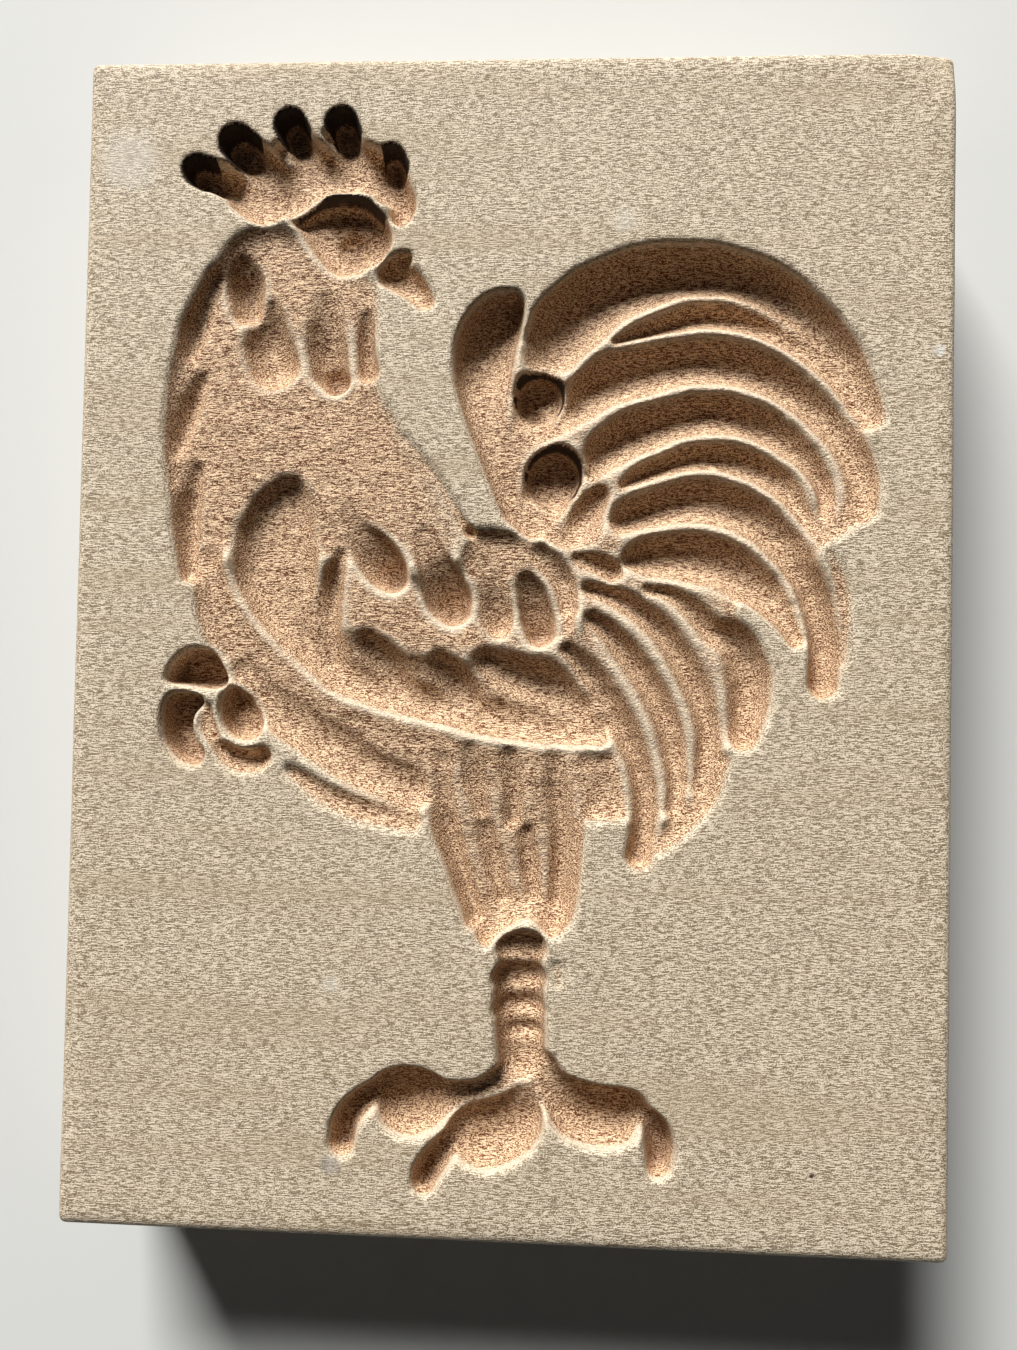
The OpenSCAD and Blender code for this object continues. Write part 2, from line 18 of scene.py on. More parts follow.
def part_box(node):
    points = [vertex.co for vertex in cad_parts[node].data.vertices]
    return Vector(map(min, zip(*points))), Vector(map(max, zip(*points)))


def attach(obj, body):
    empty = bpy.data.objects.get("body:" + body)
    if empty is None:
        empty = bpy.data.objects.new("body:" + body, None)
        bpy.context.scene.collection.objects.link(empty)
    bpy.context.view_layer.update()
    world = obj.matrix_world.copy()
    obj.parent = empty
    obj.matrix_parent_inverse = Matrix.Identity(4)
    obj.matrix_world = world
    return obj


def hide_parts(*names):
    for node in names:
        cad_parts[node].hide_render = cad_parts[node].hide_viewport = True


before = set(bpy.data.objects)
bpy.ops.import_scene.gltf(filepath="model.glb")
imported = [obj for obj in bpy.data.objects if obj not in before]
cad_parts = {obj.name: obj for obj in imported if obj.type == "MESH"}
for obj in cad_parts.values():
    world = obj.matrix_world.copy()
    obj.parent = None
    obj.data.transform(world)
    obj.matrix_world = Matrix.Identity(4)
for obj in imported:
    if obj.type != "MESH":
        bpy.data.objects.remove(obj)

# A stroke is x, y, half width and depth; a mark of use is x, y, radius, colour and share.
Array = np.ndarray
Point = tuple[float, float]
Stroke = tuple[float, float, float, float]
Mark = tuple[float, float, float, str, float]

MM = 0.001
CAD_NODE = "mould_board"
BODY = "root"
PHOTO_HEIGHT_PX = 1350
SENSOR_MM = 36.0

# Depth far from a cut, slope of the wall round it, how far out that wall goes, and a guard against zero.
OUTSIDE = -9.0
WALL_SLOPE = 7.0
REACH = 2.5
TINY = 1e-12

log = logging.getLogger("springerle_mould")


class Softness(Enum):
    """How far the crest between a cut and its neighbours is rounded over, in millimetres of depth."""

    KNIFE = 0.5
    CRISP = 0.9
    WORN = 1.3
    BROAD = 1.8
    FLOWING = 2.4


class Bottom(Enum):
    """How the bottom of a cut rounds up to its walls: the power f in the formula of Gouge.depth."""

    ELLIPSE = 0.5
    SCOOP = 0.75
    PARABOLA = 1.0


def to_linear(code: str) -> tuple[float, float, float, float]:
    """Turns an sRGB hex colour into linear light.

    Args:
        code: colour such as "#cdbea0".

    Returns:
        Red, green, blue and an alpha of 1.
    """
    parts = [int(code[k:k + 2], 16) / 255 for k in (1, 3, 5)]
    linear = [v / 12.92 if v <= 0.04045 else ((v + 0.055) / 1.055) ** 2.4 for v in parts]
    return (*linear, 1.0)


def curve(points: list[tuple[float, ...]], closed: bool, per: int = 4) -> Array:
    """Smooth curve through points: the Catmull-Rom cubic of each four neighbours.

    Args:
        points: rows of any length, such as x, y, half width and depth.
        closed: whether the last point leads back to the first.
        per: steps between two points.

    Returns:
        Rows along the curve, with the end point when it is open.
    """
    p = np.asarray(points, float)
    if closed:
        a, b, c, d = np.roll(p, 1, 0), p, np.roll(p, -1, 0), np.roll(p, -2, 0)
    else:
        q = np.vstack([2 * p[0] - p[1], p, 2 * p[-1] - p[-2]])
        a, b, c, d = q[:-3], q[1:-2], q[2:-1], q[3:]
    t = (np.arange(per) / per)[None, :, None]
    a, b, c, d = (v[:, None, :] for v in (a, b, c, d))
    rows = 0.5 * (2 * b + (c - a) * t + (2 * a - 5 * b + 4 * c - d) * t**2 + (3 * b - a - 3 * c + d) * t**3)
    rows = rows.reshape(-1, p.shape[1])
    return rows if closed else np.vstack([rows, p[-1:]])


def soft_max(a: Array, b: Array, k: float) -> Array:
    """Larger of two depths with the crest rounded: max(a, b) + k h^2 / 4, h = max(1 - |a - b| / k, 0)."""
    return np.maximum(a, b) + k / 4 * np.maximum(1 - np.abs(a - b) / k, 0) ** 2


def blurred(values: Array, turns: int) -> Array:
    """Mean over a growing window of a lattice: each turn averages a point with its eight neighbours.

    Args:
        values: numbers on the lattice.
        turns: how often they are averaged.

    Returns:
        The averaged numbers.
    """
    for _ in range(turns):
        p = np.pad(values, 1, mode="edge")
        p = p[:-2] + p[1:-1] + p[2:]
        values = (p[:, :-2] + p[:, 1:-1] + p[:, 2:]) / 9
    return values


def within(x: Array, y: Array, line: Array, margin: float) -> Array:
    """Which places lie in the box round a line of points, widened by a margin.

    Args:
        x: places across the board.
        y: places up the board.
        line: rows that start with x and y.
        margin: how far the box is widened on each side.

    Returns:
        True or false for each place.
    """
    low, high = line[:, :2].min(0) - margin, line[:, :2].max(0) + margin
    return (x > low[0]) & (x < high[0]) & (y > low[1]) & (y < high[1])


def nearest(px: Array, py: Array, start: Array, step: Array) -> tuple[Array, Array]:
    """Nearest point on each straight step: t = clip((p - a) . s / |s|^2, 0, 1), |p - a - t s| away.

    Args:
        px: places across the board, in one row.
        py: places up the board, in one row.
        start: where each step starts, with a last axis of one.
        step: the way it goes, in the same form.

    Returns:
        The share t along each step, and the distance to that point.
    """
    span = np.maximum(step[:, 0] ** 2 + step[:, 1] ** 2, TINY)
    t = np.clip(((px - start[:, 0]) * step[:, 0] + (py - start[:, 1]) * step[:, 1]) / span, 0, 1)
    return t, np.hypot(px - start[:, 0] - t * step[:, 0], py - start[:, 1] - t * step[:, 1])


class Unevenness:
    """Seeded value noise over the face: random heights on a lattice, joined by smooth steps."""

    SIZE = 128

    def __init__(self, seed: int) -> None:
        """Draws the lattice heights, from -1 to 1."""
        self.heights = np.random.default_rng(seed).uniform(-1, 1, (self.SIZE, self.SIZE))

    def at(self, x: Array, y: Array, along: float, across: float) -> Array:
        """Height of the noise at some places.

        Args:
            x: places along the grain, in millimetres.
            y: places across the grain.
            along: lattice spacing along the grain.
            across: lattice spacing across it.

        Returns:
            Heights from -1 to 1.
        """
        u, v = x / along, y / across
        i, j = np.floor(u).astype(int), np.floor(v).astype(int)
        s, t = u - i, v - j
        s, t = s * s * (3 - 2 * s), t * t * (3 - 2 * t)
        i, j = i % self.SIZE, j % self.SIZE
        k, m = (i + 1) % self.SIZE, (j + 1) % self.SIZE
        h = self.heights
        low = h[j, i] * (1 - s) + h[j, k] * s
        high = h[m, i] * (1 - s) + h[m, k] * s
        return low * (1 - t) + high * t


@dataclass(frozen=True)
class Gouge:
    """One cut of a gouge: a path of x, y, half width and depth, with round ends."""

    path: list[Stroke]
    upright: float = 0.2
    softness: Softness = Softness.CRISP
    fall: Bottom = Bottom.ELLIPSE
    # Share of painted shadow on the walls of the cut, from 0 to 1: they are painted very dark, as if in
    # shade.
    painted_shadow: float = 0.0

    def depth(self, x: Array, y: Array) -> Array:
        """Depth of the cut: its upright share, then a round bottom, and a steep wall outside.

        The nearest point of the path is the one with the least distance minus half width, r. Inside,
        the depth is d (u + (1 - u) (1 - (1 + r / w)^2)^f); outside it falls by the wall's slope.

        Args:
            x: places across the board.
            y: places up the board.

        Returns:
            Depth in millimetres, negative outside the cut.
        """
        c = curve(self.path, closed=False)
        near = within(x, y, c, c[:, 2].max() + REACH)
        out = np.full(x.shape, OUTSIDE)
        a, step = c[:-1, :, None], np.diff(c, axis=0)[:, :, None]
        t, distance = nearest(x[near][None], y[near][None], a, step)
        half = a[:, 2] + step[:, 2] * t
        r = distance - half
        best = np.argmin(r, axis=0)[None]
        r, half, t = (np.take_along_axis(v, best, 0)[0] for v in (r, half, t))
        deep = c[best[0], 3] + np.diff(c[:, 3])[best[0]] * t
        q = np.clip(1 + r / half, 0, 1)
        bowl = self.upright + (1 - self.upright) * (1 - q * q) ** self.fall.value
        out[near] = deep * bowl - WALL_SLOPE * np.maximum(r, 0)
        return out


@dataclass(frozen=True)
class Hollow:
    """A scooped area: a closed outline, a rounded wall and a floor that may lean sideways and tip endways."""

    outline: list[Point]
    wall: float
    floor: float
    lean: float = 0.0
    tip: float = 0.0
    softness: Softness = Softness.BROAD
    # Share of painted shadow on the walls of the area, from 0 to 1: they are painted very dark, as if in
    # shade.
    painted_shadow: float = 0.0
    least_floor: float = 0.3

    def depth(self, x: Array, y: Array) -> Array:
        """Depth of the area: the floor, rounded up to the outline over the wall's width.

        With d the distance to the outline, the depth inside is floor sqrt(1 - (1 - d / wall)^2), and
        outside it falls by the wall's slope. A place is inside where a line to its right crosses the
        outline an odd number of times.

        Args:
            x: places across the board.
            y: places up the board.

        Returns:
            Depth in millimetres, negative outside the outline.
        """
        c = curve(self.outline, closed=True)
        middle = c.mean(0)
        near = within(x, y, c, REACH)
        out = np.full(x.shape, OUTSIDE)
        px, py = x[near][None], y[near][None]
        a, b = c[:, :, None], np.roll(c, -1, 0)[:, :, None]
        step = b - a
        rise = np.where(np.abs(step[:, 1]) < TINY, TINY, step[:, 1])
        crossed = ((a[:, 1] > py) != (b[:, 1] > py)) & (px < step[:, 0] * (py - a[:, 1]) / rise + a[:, 0])
        inside = crossed.sum(0) % 2 == 1
        d = nearest(px, py, a, step)[1].min(0)
        away = self.lean * (px[0] - middle[0]) + self.tip * (py[0] - middle[1])
        floor = np.maximum(self.floor + away, self.least_floor)
        q = np.clip(1 - d / self.wall, 0, 1)
        out[near] = np.where(inside, floor * np.sqrt(1 - q * q), -WALL_SLOPE * d)
        return out


Cut = Gouge | Hollow


def gouges(
    upright: float, softness: Softness, *paths: list[Stroke],
    fall: Bottom = Bottom.ELLIPSE, painted_shadow: float = 0.0,
) -> list[Cut]:
    """Cuts made with one tool.

    Args:
        upright: share of the depth that the walls drop straight down.
        softness: how far the crests beside the cuts are rounded.
        *paths: one path for each cut.
        fall: how the bottom rounds up.
        painted_shadow: share of painted shadow on the walls, from 0 to 1.

    Returns:
        The cuts in the order of their paths.
    """
    return [Gouge(path, upright, softness, fall, painted_shadow) for path in paths]


def comb() -> list[Cut]:
    """The comb: five tips, the band that joins them, its two ends and the nicks between the tips.

    Returns:
        Its cuts in the order of carving.
    """
    return [
        *gouges(
            0.6, Softness.CRISP,
            [(-32.0, 48.6, 1.2, 4.8), (-29.8, 48.0, 1.6, 4.2), (-27.5, 47.4, 2.2, 3.6)],
            [(-28.2, 51.2, 1.4, 5.1), (-26.8, 49.9, 1.7, 4.3), (-25.4, 48.6, 2.2, 3.6)],
            [(-23.0, 52.9, 1.2, 5.1), (-22.1, 51.2, 1.5, 4.3), (-21.4, 49.6, 2.2, 3.6)],
            [(-17.7, 52.9, 1.2, 5.1), (-17.2, 51.2, 1.5, 4.3), (-16.8, 49.6, 2.2, 3.6)],
            [(-12.5, 49.4, 1.05, 4.8), (-12.6, 48.4, 1.3, 4.2), (-12.8, 47.4, 1.8, 3.6)],
        ),
        *gouges(
            0.85, Softness.KNIFE,
            [(-33.3, 49.1, 1.0, 5.0), (-32.0, 48.6, 1.15, 4.8)],
            [(-29.1, 52.1, 1.2, 5.4), (-28.2, 51.2, 1.35, 5.1)],
            [(-23.5, 53.9, 1.05, 5.4), (-23.0, 52.9, 1.15, 5.1)],
            [(-18.0, 53.9, 1.05, 5.4), (-17.7, 52.9, 1.15, 5.1)],
            [(-12.7, 50.2, 0.9, 5.0), (-12.5, 49.4, 1.0, 4.8)],
            # The walls of these tip ends carry painted shadow.
            painted_shadow=1.0,
        ),
        *gouges(
            0.2, Softness.CRISP,
            [(-27.6, 47.0, 2.6, 3.6), (-24.3, 47.6, 3.4, 3.6), (-20.5, 49.2, 2.7, 3.6),
             (-16.5, 49.4, 2.6, 3.6), (-13.4, 48.4, 1.9, 3.6)],
            [(-28.4, 46.9, 2.0, 3.8), (-26.2, 45.8, 2.3, 3.8), (-24.0, 47.2, 2.4, 4.0)],
            [(-12.2, 47.5, 1.3, 4.2), (-11.6, 45.6, 1.4, 3.8), (-11.7, 44.4, 1.2, 3.2)],
        ),
        *gouges(
            0.0, Softness.KNIFE,
            [(-24.4, 51.5, 0.8, 2.6), (-24.0, 51.0, 0.8, 2.6)],
            [(-19.3, 52.7, 0.7, 2.4), (-18.9, 52.2, 0.7, 2.4)],
            [(-14.4, 50.7, 0.7, 2.4), (-13.8, 50.4, 0.7, 2.4)],
        ),
    ]


def head() -> list[Cut]:
    """The face with its eye, the beak, the ear and the wattles.

    Returns:
        Its cuts in the order of carving.
    """
    return [
        Hollow(
            [(-23.4, 44.0), (-21.6, 45.3), (-18.5, 45.9), (-15.4, 45.6), (-13.3, 44.0), (-12.5, 42.2),
             (-13.0, 40.4), (-14.8, 38.7), (-17.5, 38.0), (-19.3, 38.6), (-21.0, 40.4), (-22.5, 42.8)],
            wall=2.2, floor=4.2, softness=Softness.CRISP,
        ),
        Gouge(
            [(-22.0, 44.1, 0.6, 3.8), (-20.5, 44.9, 0.7, 4.4), (-18.4, 45.3, 0.7, 4.6),
             (-15.9, 45.0, 0.7, 4.4),
             (-14.2, 43.8, 0.5, 3.8)],
            # The walls under the brow carry painted shadow.
            0.85, Softness.CRISP, painted_shadow=0.8,
        ),
        Gouge([(-17.0, 41.9, 1.45, 5.2), (-16.8, 41.5, 1.45, 5.0)], 0.95, Softness.KNIFE, Bottom.PARABOLA),
        *gouges(
            0.2, Softness.CRISP,
            [(-12.4, 38.2, 1.6, 3.0), (-10.6, 37.1, 1.5, 2.6), (-9.0, 35.3, 1.0, 1.8)],
            [(-11.6, 39.3, 0.9, 2.4), (-11.0, 39.6, 0.7, 2.0)],
        ),
        *gouges(
            0.3, Softness.CRISP,
            [(-28.4, 39.0, 1.6, 3.2), (-28.2, 37.2, 2.2, 4.8), (-28.0, 35.0, 2.0, 4.6)],
            [(-25.4, 34.6, 1.4, 2.6), (-25.7, 31.8, 2.6, 4.4), (-24.9, 28.9, 2.9, 4.8)],
            [(-19.4, 35.0, 1.8, 2.0), (-19.4, 31.4, 2.3, 3.6), (-18.9, 28.2, 2.2, 4.6)],
            [(-15.2, 33.6, 0.8, 2.0), (-15.1, 30.6, 1.0, 3.0), (-14.8, 28.0, 1.2, 3.2)],
            fall=Bottom.SCOOP,
        ),
        Gouge([(-18.5, 27.5, 1.4, 5.4), (-18.3, 27.2, 1.4, 5.4)], 0.6, Softness.CRISP),
    ]


def neck() -> list[Cut]:
    """The neck and the saddle, with the hackle tips over the back.

    Returns:
        Its cuts in the order of carving.
    """
    return [
        Hollow(
            [(-26.5, 43.2), (-29.2, 41.9), (-31.3, 39.2), (-33.3, 35.6), (-35.0, 31.4), (-35.9, 27.0),
             (-36.2, 22.0), (-35.9, 17.5), (-35.1, 13.0), (-34.3, 9.0), (-33.0, 5.5), (-31.6, 6.5),
             (-28.0, 9.0), (-22.0, 9.0), (-16.0, 8.0), (-10.0, 7.5), (-5.5, 8.0), (-3.8, 11.2),
             (-6.0, 15.0), (-8.0, 18.0), (-10.5, 21.5), (-13.3, 26.0), (-13.8, 30.0), (-13.6, 34.0),
             (-14.0, 37.5), (-19.0, 40.5), (-23.0, 43.0)],
            wall=2.6, floor=1.4, lean=-0.045,
        ),
        Hollow(
            [(-3.8, 10.6), (-1.5, 11.6), (2.5, 10.8), (5.8, 9.2), (7.8, 6.5), (7.8, 3.4), (6.0, 0.5),
             (2.0, -1.0), (-3.0, -1.0), (-6.0, 4.0)],
            wall=1.4, floor=1.4,
        ),
        *gouges(
            0.1, Softness.WORN,
            [(-31.0, 38.0, 1.0, 2.0), (-32.2, 35.0, 1.4, 2.4), (-33.2, 32.0, 1.5, 2.8),
             (-33.9, 29.8, 1.0, 2.4)],
            [(-32.6, 27.2, 1.2, 2.8), (-33.7, 24.4, 1.6, 3.4), (-34.5, 21.6, 1.3, 3.2),
             (-34.9, 19.4, 0.9, 2.4)],
            [(-32.8, 17.6, 1.1, 2.8), (-33.4, 14.0, 1.6, 3.4), (-33.4, 10.0, 1.4, 3.2),
             (-33.1, 6.6, 1.0, 2.4)],
            fall=Bottom.PARABOLA,
        ),
        *gouges(
            0.2, Softness.KNIFE,
            [(-10.6, 21.0, 0.3, 0.9), (-8.0, 17.6, 0.35, 1.0), (-5.6, 14.2, 0.35, 1.0),
             (-4.2, 11.8, 0.4, 1.4)],
            [(-3.8, 11.3, 0.5, 2.4), (-3.6, 11.1, 0.5, 2.4)],
        ),
        *gouges(
            0.8, Softness.CRISP,
            [(-16.8, 13.0, 0.8, 1.2), (-14.9, 10.4, 1.5, 2.4), (-13.4, 8.6, 1.9, 3.9), (-12.5, 7.4, 1.8, 5.0),
             (-12.0, 6.6, 1.3, 5.7)],
            [(-8.6, 10.6, 1.0, 1.2), (-7.5, 8.0, 1.6, 2.0), (-6.6, 6.0, 2.0, 3.6), (-5.9, 4.4, 2.0, 5.0),
             (-5.4, 3.3, 1.4, 5.7)],
            [(2.2, 6.2, 0.9, 2.8), (2.8, 4.4, 1.4, 4.0), (3.3, 2.6, 1.5, 5.0), (3.6, 1.2, 1.2, 5.6)],
            fall=Bottom.SCOOP,
        ),
        *gouges(
            0.45, Softness.CRISP,
            [(-1.8, 8.0, 1.1, 1.4), (-1.3, 5.4, 1.7, 2.4), (-0.9, 2.9, 1.9, 3.6), (-0.7, 1.8, 1.4, 4.2)],
            [(3.6, 9.0, 1.2, 2.0), (5.8, 6.2, 1.4, 2.8), (6.3, 3.6, 1.1, 2.8)],
            fall=Bottom.SCOOP,
        ),
    ]


def wing() -> list[Cut]:
    """The folded wing: its ground, the two hollows of the shoulder and the quills below.

    Returns:
        Its cuts in the order of carving.
    """
    return [
        Hollow(
            [(-29.5, 10.0), (-28.0, 14.5), (-24.0, 17.5), (-20.0, 15.0), (-16.0, 10.0), (-9.0, 6.5),
             (-2.0, 6.0), (4.0, 6.0), (7.0, 3.0), (8.5, -2.0), (11.0, -7.0), (11.5, -10.0),
             (5.0, -10.0), (-3.0, -9.0), (-12.0, -7.0), (-19.0, -4.0), (-24.0, 1.5), (-28.0, 6.0)],
            wall=1.5, floor=1.2,
        ),
        Hollow(
            [(-21.8, 17.2), (-24.6, 16.8), (-27.0, 14.6), (-28.6, 11.0), (-28.6, 6.5), (-26.6, 2.5),
             (-23.5, -0.8),
             (-20.5, -2.0), (-18.6, 1.5), (-19.0, 6.0), (-19.6, 10.5), (-20.2, 14.5)],
            wall=2.6, floor=3.9, lean=-0.16, softness=Softness.CRISP,
        ),
        *gouges(
            0.15, Softness.BROAD,
            [(-17.3, 8.8, 0.7, 2.0), (-18.2, 6.0, 1.5, 3.7), (-18.7, 2.4, 1.8, 4.1), (-18.0, -2.0, 1.7, 3.8)],
            fall=Bottom.SCOOP,
        ),
        *gouges(
            0.05, Softness.FLOWING,
            [(-21.0, 0.2, 2.8, 3.0), (-16.0, -2.4, 3.0, 3.0), (-10.0, -4.4, 3.0, 3.0), (-3.0, -5.4, 3.2, 3.2),
             (4.0, -6.0, 3.5, 3.2), (9.0, -7.7, 2.4, 3.0)],
            fall=Bottom.SCOOP,
        ),
        *gouges(
            0.2, Softness.FLOWING,
            [(-20.6, -1.0, 1.6, 3.4), (-17.6, -3.3, 1.9, 3.8), (-13.2, -5.0, 2.0, 4.1),
             (-9.3, -6.0, 2.0, 4.3),
             (-5.4, -7.0, 2.0, 4.4), (0.2, -7.9, 2.1, 4.4), (6.0, -8.5, 2.1, 4.2), (9.8, -8.9, 1.7, 3.8)],
        ),
        *gouges(
            0.1, Softness.BROAD,
            [(-14.2, -0.6, 1.8, 3.6), (-12.6, -2.4, 2.4, 4.8), (-11.0, -4.6, 2.2, 4.6)],
            [(-6.6, -2.6, 1.8, 3.6), (-5.2, -4.2, 2.4, 5.0), (-3.6, -5.8, 2.2, 4.8)],
            [(-1.8, -2.2, 2.0, 4.0), (1.6, -3.8, 3.2, 5.0), (5.0, -5.0, 3.2, 5.0), (8.0, -6.8, 2.2, 4.4)],
            fall=Bottom.PARABOLA,
        ),
    ]


def body() -> list[Cut]:
    """The breast and belly, the thigh with its long feathers, and the vent behind it.

    Returns:
        Its cuts in the order of carving.
    """
    return [
        *gouges(
            0.45, Softness.FLOWING,
            [(-31.1, 8.0, 1.5, 1.8), (-30.1, 4.8, 2.3, 1.8), (-28.9, 1.6, 2.9, 1.8), (-26.6, -1.9, 3.4, 1.7),
             (-23.4, -4.6, 3.7, 1.6), (-20.1, -7.6, 3.9, 1.6), (-15.5, -10.2, 4.4, 1.6),
             (-10.0, -12.4, 5.0, 1.6)],
            fall=Bottom.PARABOLA,
        ),
        *gouges(
            0.1, Softness.FLOWING,
            [(-27.0, -3.6, 1.6, 2.0), (-23.9, -7.3, 2.1, 2.4), (-18.9, -10.1, 2.2, 2.7),
             (-13.9, -13.1, 2.2, 2.7),
             (-9.2, -15.3, 2.2, 2.6)],
            fall=Bottom.SCOOP,
        ),
        *gouges(
            0.1, Softness.WORN,
            [(-21.8, -13.6, 0.8, 1.0), (-18.2, -15.8, 1.5, 1.2), (-14.0, -17.5, 1.6, 1.3),
             (-9.3, -18.4, 1.5, 1.3)],
            fall=Bottom.PARABOLA,
        ),
        Hollow(
            [(-8.4, -8.4), (-8.2, -15.0), (-7.3, -19.5), (-5.2, -24.0), (-3.3, -28.0), (-1.5, -31.0),
             (0.5, -29.8), (3.0, -28.4), (5.2, -30.0), (7.2, -28.4), (8.2, -25.0), (8.6, -20.0),
             (8.5, -16.0), (9.0, -10.2), (0.0, -9.4)],
            wall=2.6, floor=2.4, tip=-0.12,
        ),
        Hollow(
            [(7.8, -11.6), (8.0, -14.5), (8.2, -17.7), (10.6, -18.0), (13.1, -17.6), (13.2, -14.0),
             (12.0, -10.6), (10.0, -10.4)],
            wall=3.6, floor=2.2,
        ),
        *gouges(
            0.0, Softness.WORN,
            [(-6.3, -12.4, 1.4, 1.9), (-5.8, -17.0, 1.7, 3.0), (-4.6, -22.0, 1.6, 3.8),
             (-2.4, -28.2, 1.3, 4.0)],
            [(-3.4, -11.4, 1.3, 1.8), (-2.8, -14.6, 1.8, 2.8), (-2.2, -17.6, 1.4, 3.2)],
            [(-1.8, -19.0, 1.5, 3.3), (-0.8, -22.4, 1.8, 4.0), (0.4, -26.6, 1.4, 4.2)],
            [(0.8, -11.6, 1.2, 1.8), (1.2, -15.0, 1.6, 2.8), (1.2, -18.4, 1.5, 3.4)],
            [(2.4, -19.6, 1.5, 3.5), (3.0, -23.0, 1.7, 4.2), (3.4, -26.0, 1.2, 4.2)],
            [(5.4, -11.8, 1.5, 1.8), (5.8, -16.0, 1.8, 3.0), (6.2, -21.0, 1.7, 3.8), (5.8, -26.4, 1.5, 4.2)],
            fall=Bottom.PARABOLA,
        ),
    ]


def leg() -> list[Cut]:
    """The shank with its scales, the spur, three toes and their claws.

    Returns:
        Its cuts in the order of carving.
    """
    return [
        Gouge([(2.3, -31.2, 2.0, 2.0), (2.2, -36.0, 2.4, 3.8), (2.6, -42.5, 2.2, 4.0)], 0.5, Softness.CRISP),
        *gouges(
            0.0, Softness.CRISP,
            [(1.4, -31.2, 1.7, 2.8), (3.2, -31.0, 1.7, 2.8)],
            [(1.2, -34.3, 1.8, 4.2), (3.2, -34.2, 1.8, 4.2)],
            [(1.2, -37.4, 1.7, 4.6), (3.3, -37.3, 1.7, 4.6)],
            [(1.7, -40.0, 1.3, 4.6), (3.6, -40.0, 1.3, 4.6)],
        ),
        Gouge([(6.0, -33.0, 0.7, 0.5), (6.2, -34.4, 0.6, 0.5)], 0.7, Softness.KNIFE),
        *gouges(
            0.5, Softness.CRISP,
            [(2.0, -43.6, 1.6, 2.6), (-1.5, -45.9, 1.4, 2.4), (-5.5, -46.8, 2.0, 3.6),
             (-8.6, -47.0, 3.3, 5.0),
             (-10.2, -46.4, 2.4, 4.6)],
            [(3.1, -46.0, 1.3, 2.6), (1.8, -48.8, 2.8, 4.4), (-0.8, -50.2, 3.1, 5.0),
             (-2.6, -50.4, 2.4, 4.6)],
            [(4.3, -43.0, 1.6, 2.8), (5.6, -45.2, 1.9, 3.0), (8.4, -47.3, 2.7, 4.6), (11.4, -47.8, 2.8, 5.0),
             (12.8, -47.4, 2.3, 4.8)],
            [(12.2, -46.2, 1.3, 4.4), (13.3, -46.6, 1.2, 4.2)],
        ),
        *gouges(
            0.5, Softness.CRISP,
            [(-11.0, -46.0, 1.5, 3.4), (-13.6, -47.2, 1.2, 3.4), (-15.2, -49.0, 1.2, 3.6),
             (-15.6, -51.3, 1.1, 3.8)],
            [(-3.2, -50.2, 1.6, 3.4), (-5.2, -51.7, 1.3, 3.4), (-6.6, -53.6, 1.25, 3.6),
             (-7.1, -55.0, 1.0, 3.6)],
            [(14.5, -47.4, 1.0, 3.2), (16.0, -48.9, 1.2, 4.0), (16.6, -50.6, 1.25, 4.8),
             (16.6, -52.3, 1.0, 4.8)],
        ),
    ]


def flower() -> list[Cut]:
    """The small flower in front of the breast: four petals round a raised heart.

    Returns:
        Its cuts in the order of carving.
    """
    return [
        Hollow(
            [(-35.0, -4.6), (-34.4, -2.6), (-32.6, -1.3), (-30.6, -1.5), (-29.3, -3.2), (-28.9, -4.9),
             (-30.6, -5.5), (-33.0, -5.2)],
            wall=0.8, floor=4.8, softness=Softness.WORN,
        ),
        Hollow(
            [(-35.6, -8.6), (-34.9, -6.4), (-33.2, -5.8), (-31.2, -6.5), (-32.3, -8.4), (-31.9, -10.6),
             (-30.9, -12.0), (-31.6, -13.3), (-33.6, -12.9), (-35.2, -11.2)],
            wall=0.8, floor=4.2, softness=Softness.WORN,
        ),
        Hollow(
            [(-29.4, -6.6), (-28.6, -5.1), (-26.6, -6.0), (-25.0, -8.4), (-25.3, -10.2), (-27.0, -10.8),
             (-28.6, -10.0), (-29.3, -8.6)],
            wall=1.0, floor=4.0, softness=Softness.WORN,
        ),
        Hollow(
            [(-30.3, -11.0), (-29.4, -12.7), (-27.4, -13.9), (-25.1, -13.8), (-23.9, -12.5), (-24.6, -11.3),
             (-26.6, -11.4), (-28.6, -10.8)],
            wall=1.4, floor=2.4, softness=Softness.WORN,
        ),
        Gouge(
            [(-30.9, -7.6, 0.9, 1.1), (-30.6, -9.2, 1.1, 1.4), (-30.0, -10.4, 0.9, 1.4)],
            0.2, Softness.WORN,
        ),
    ]


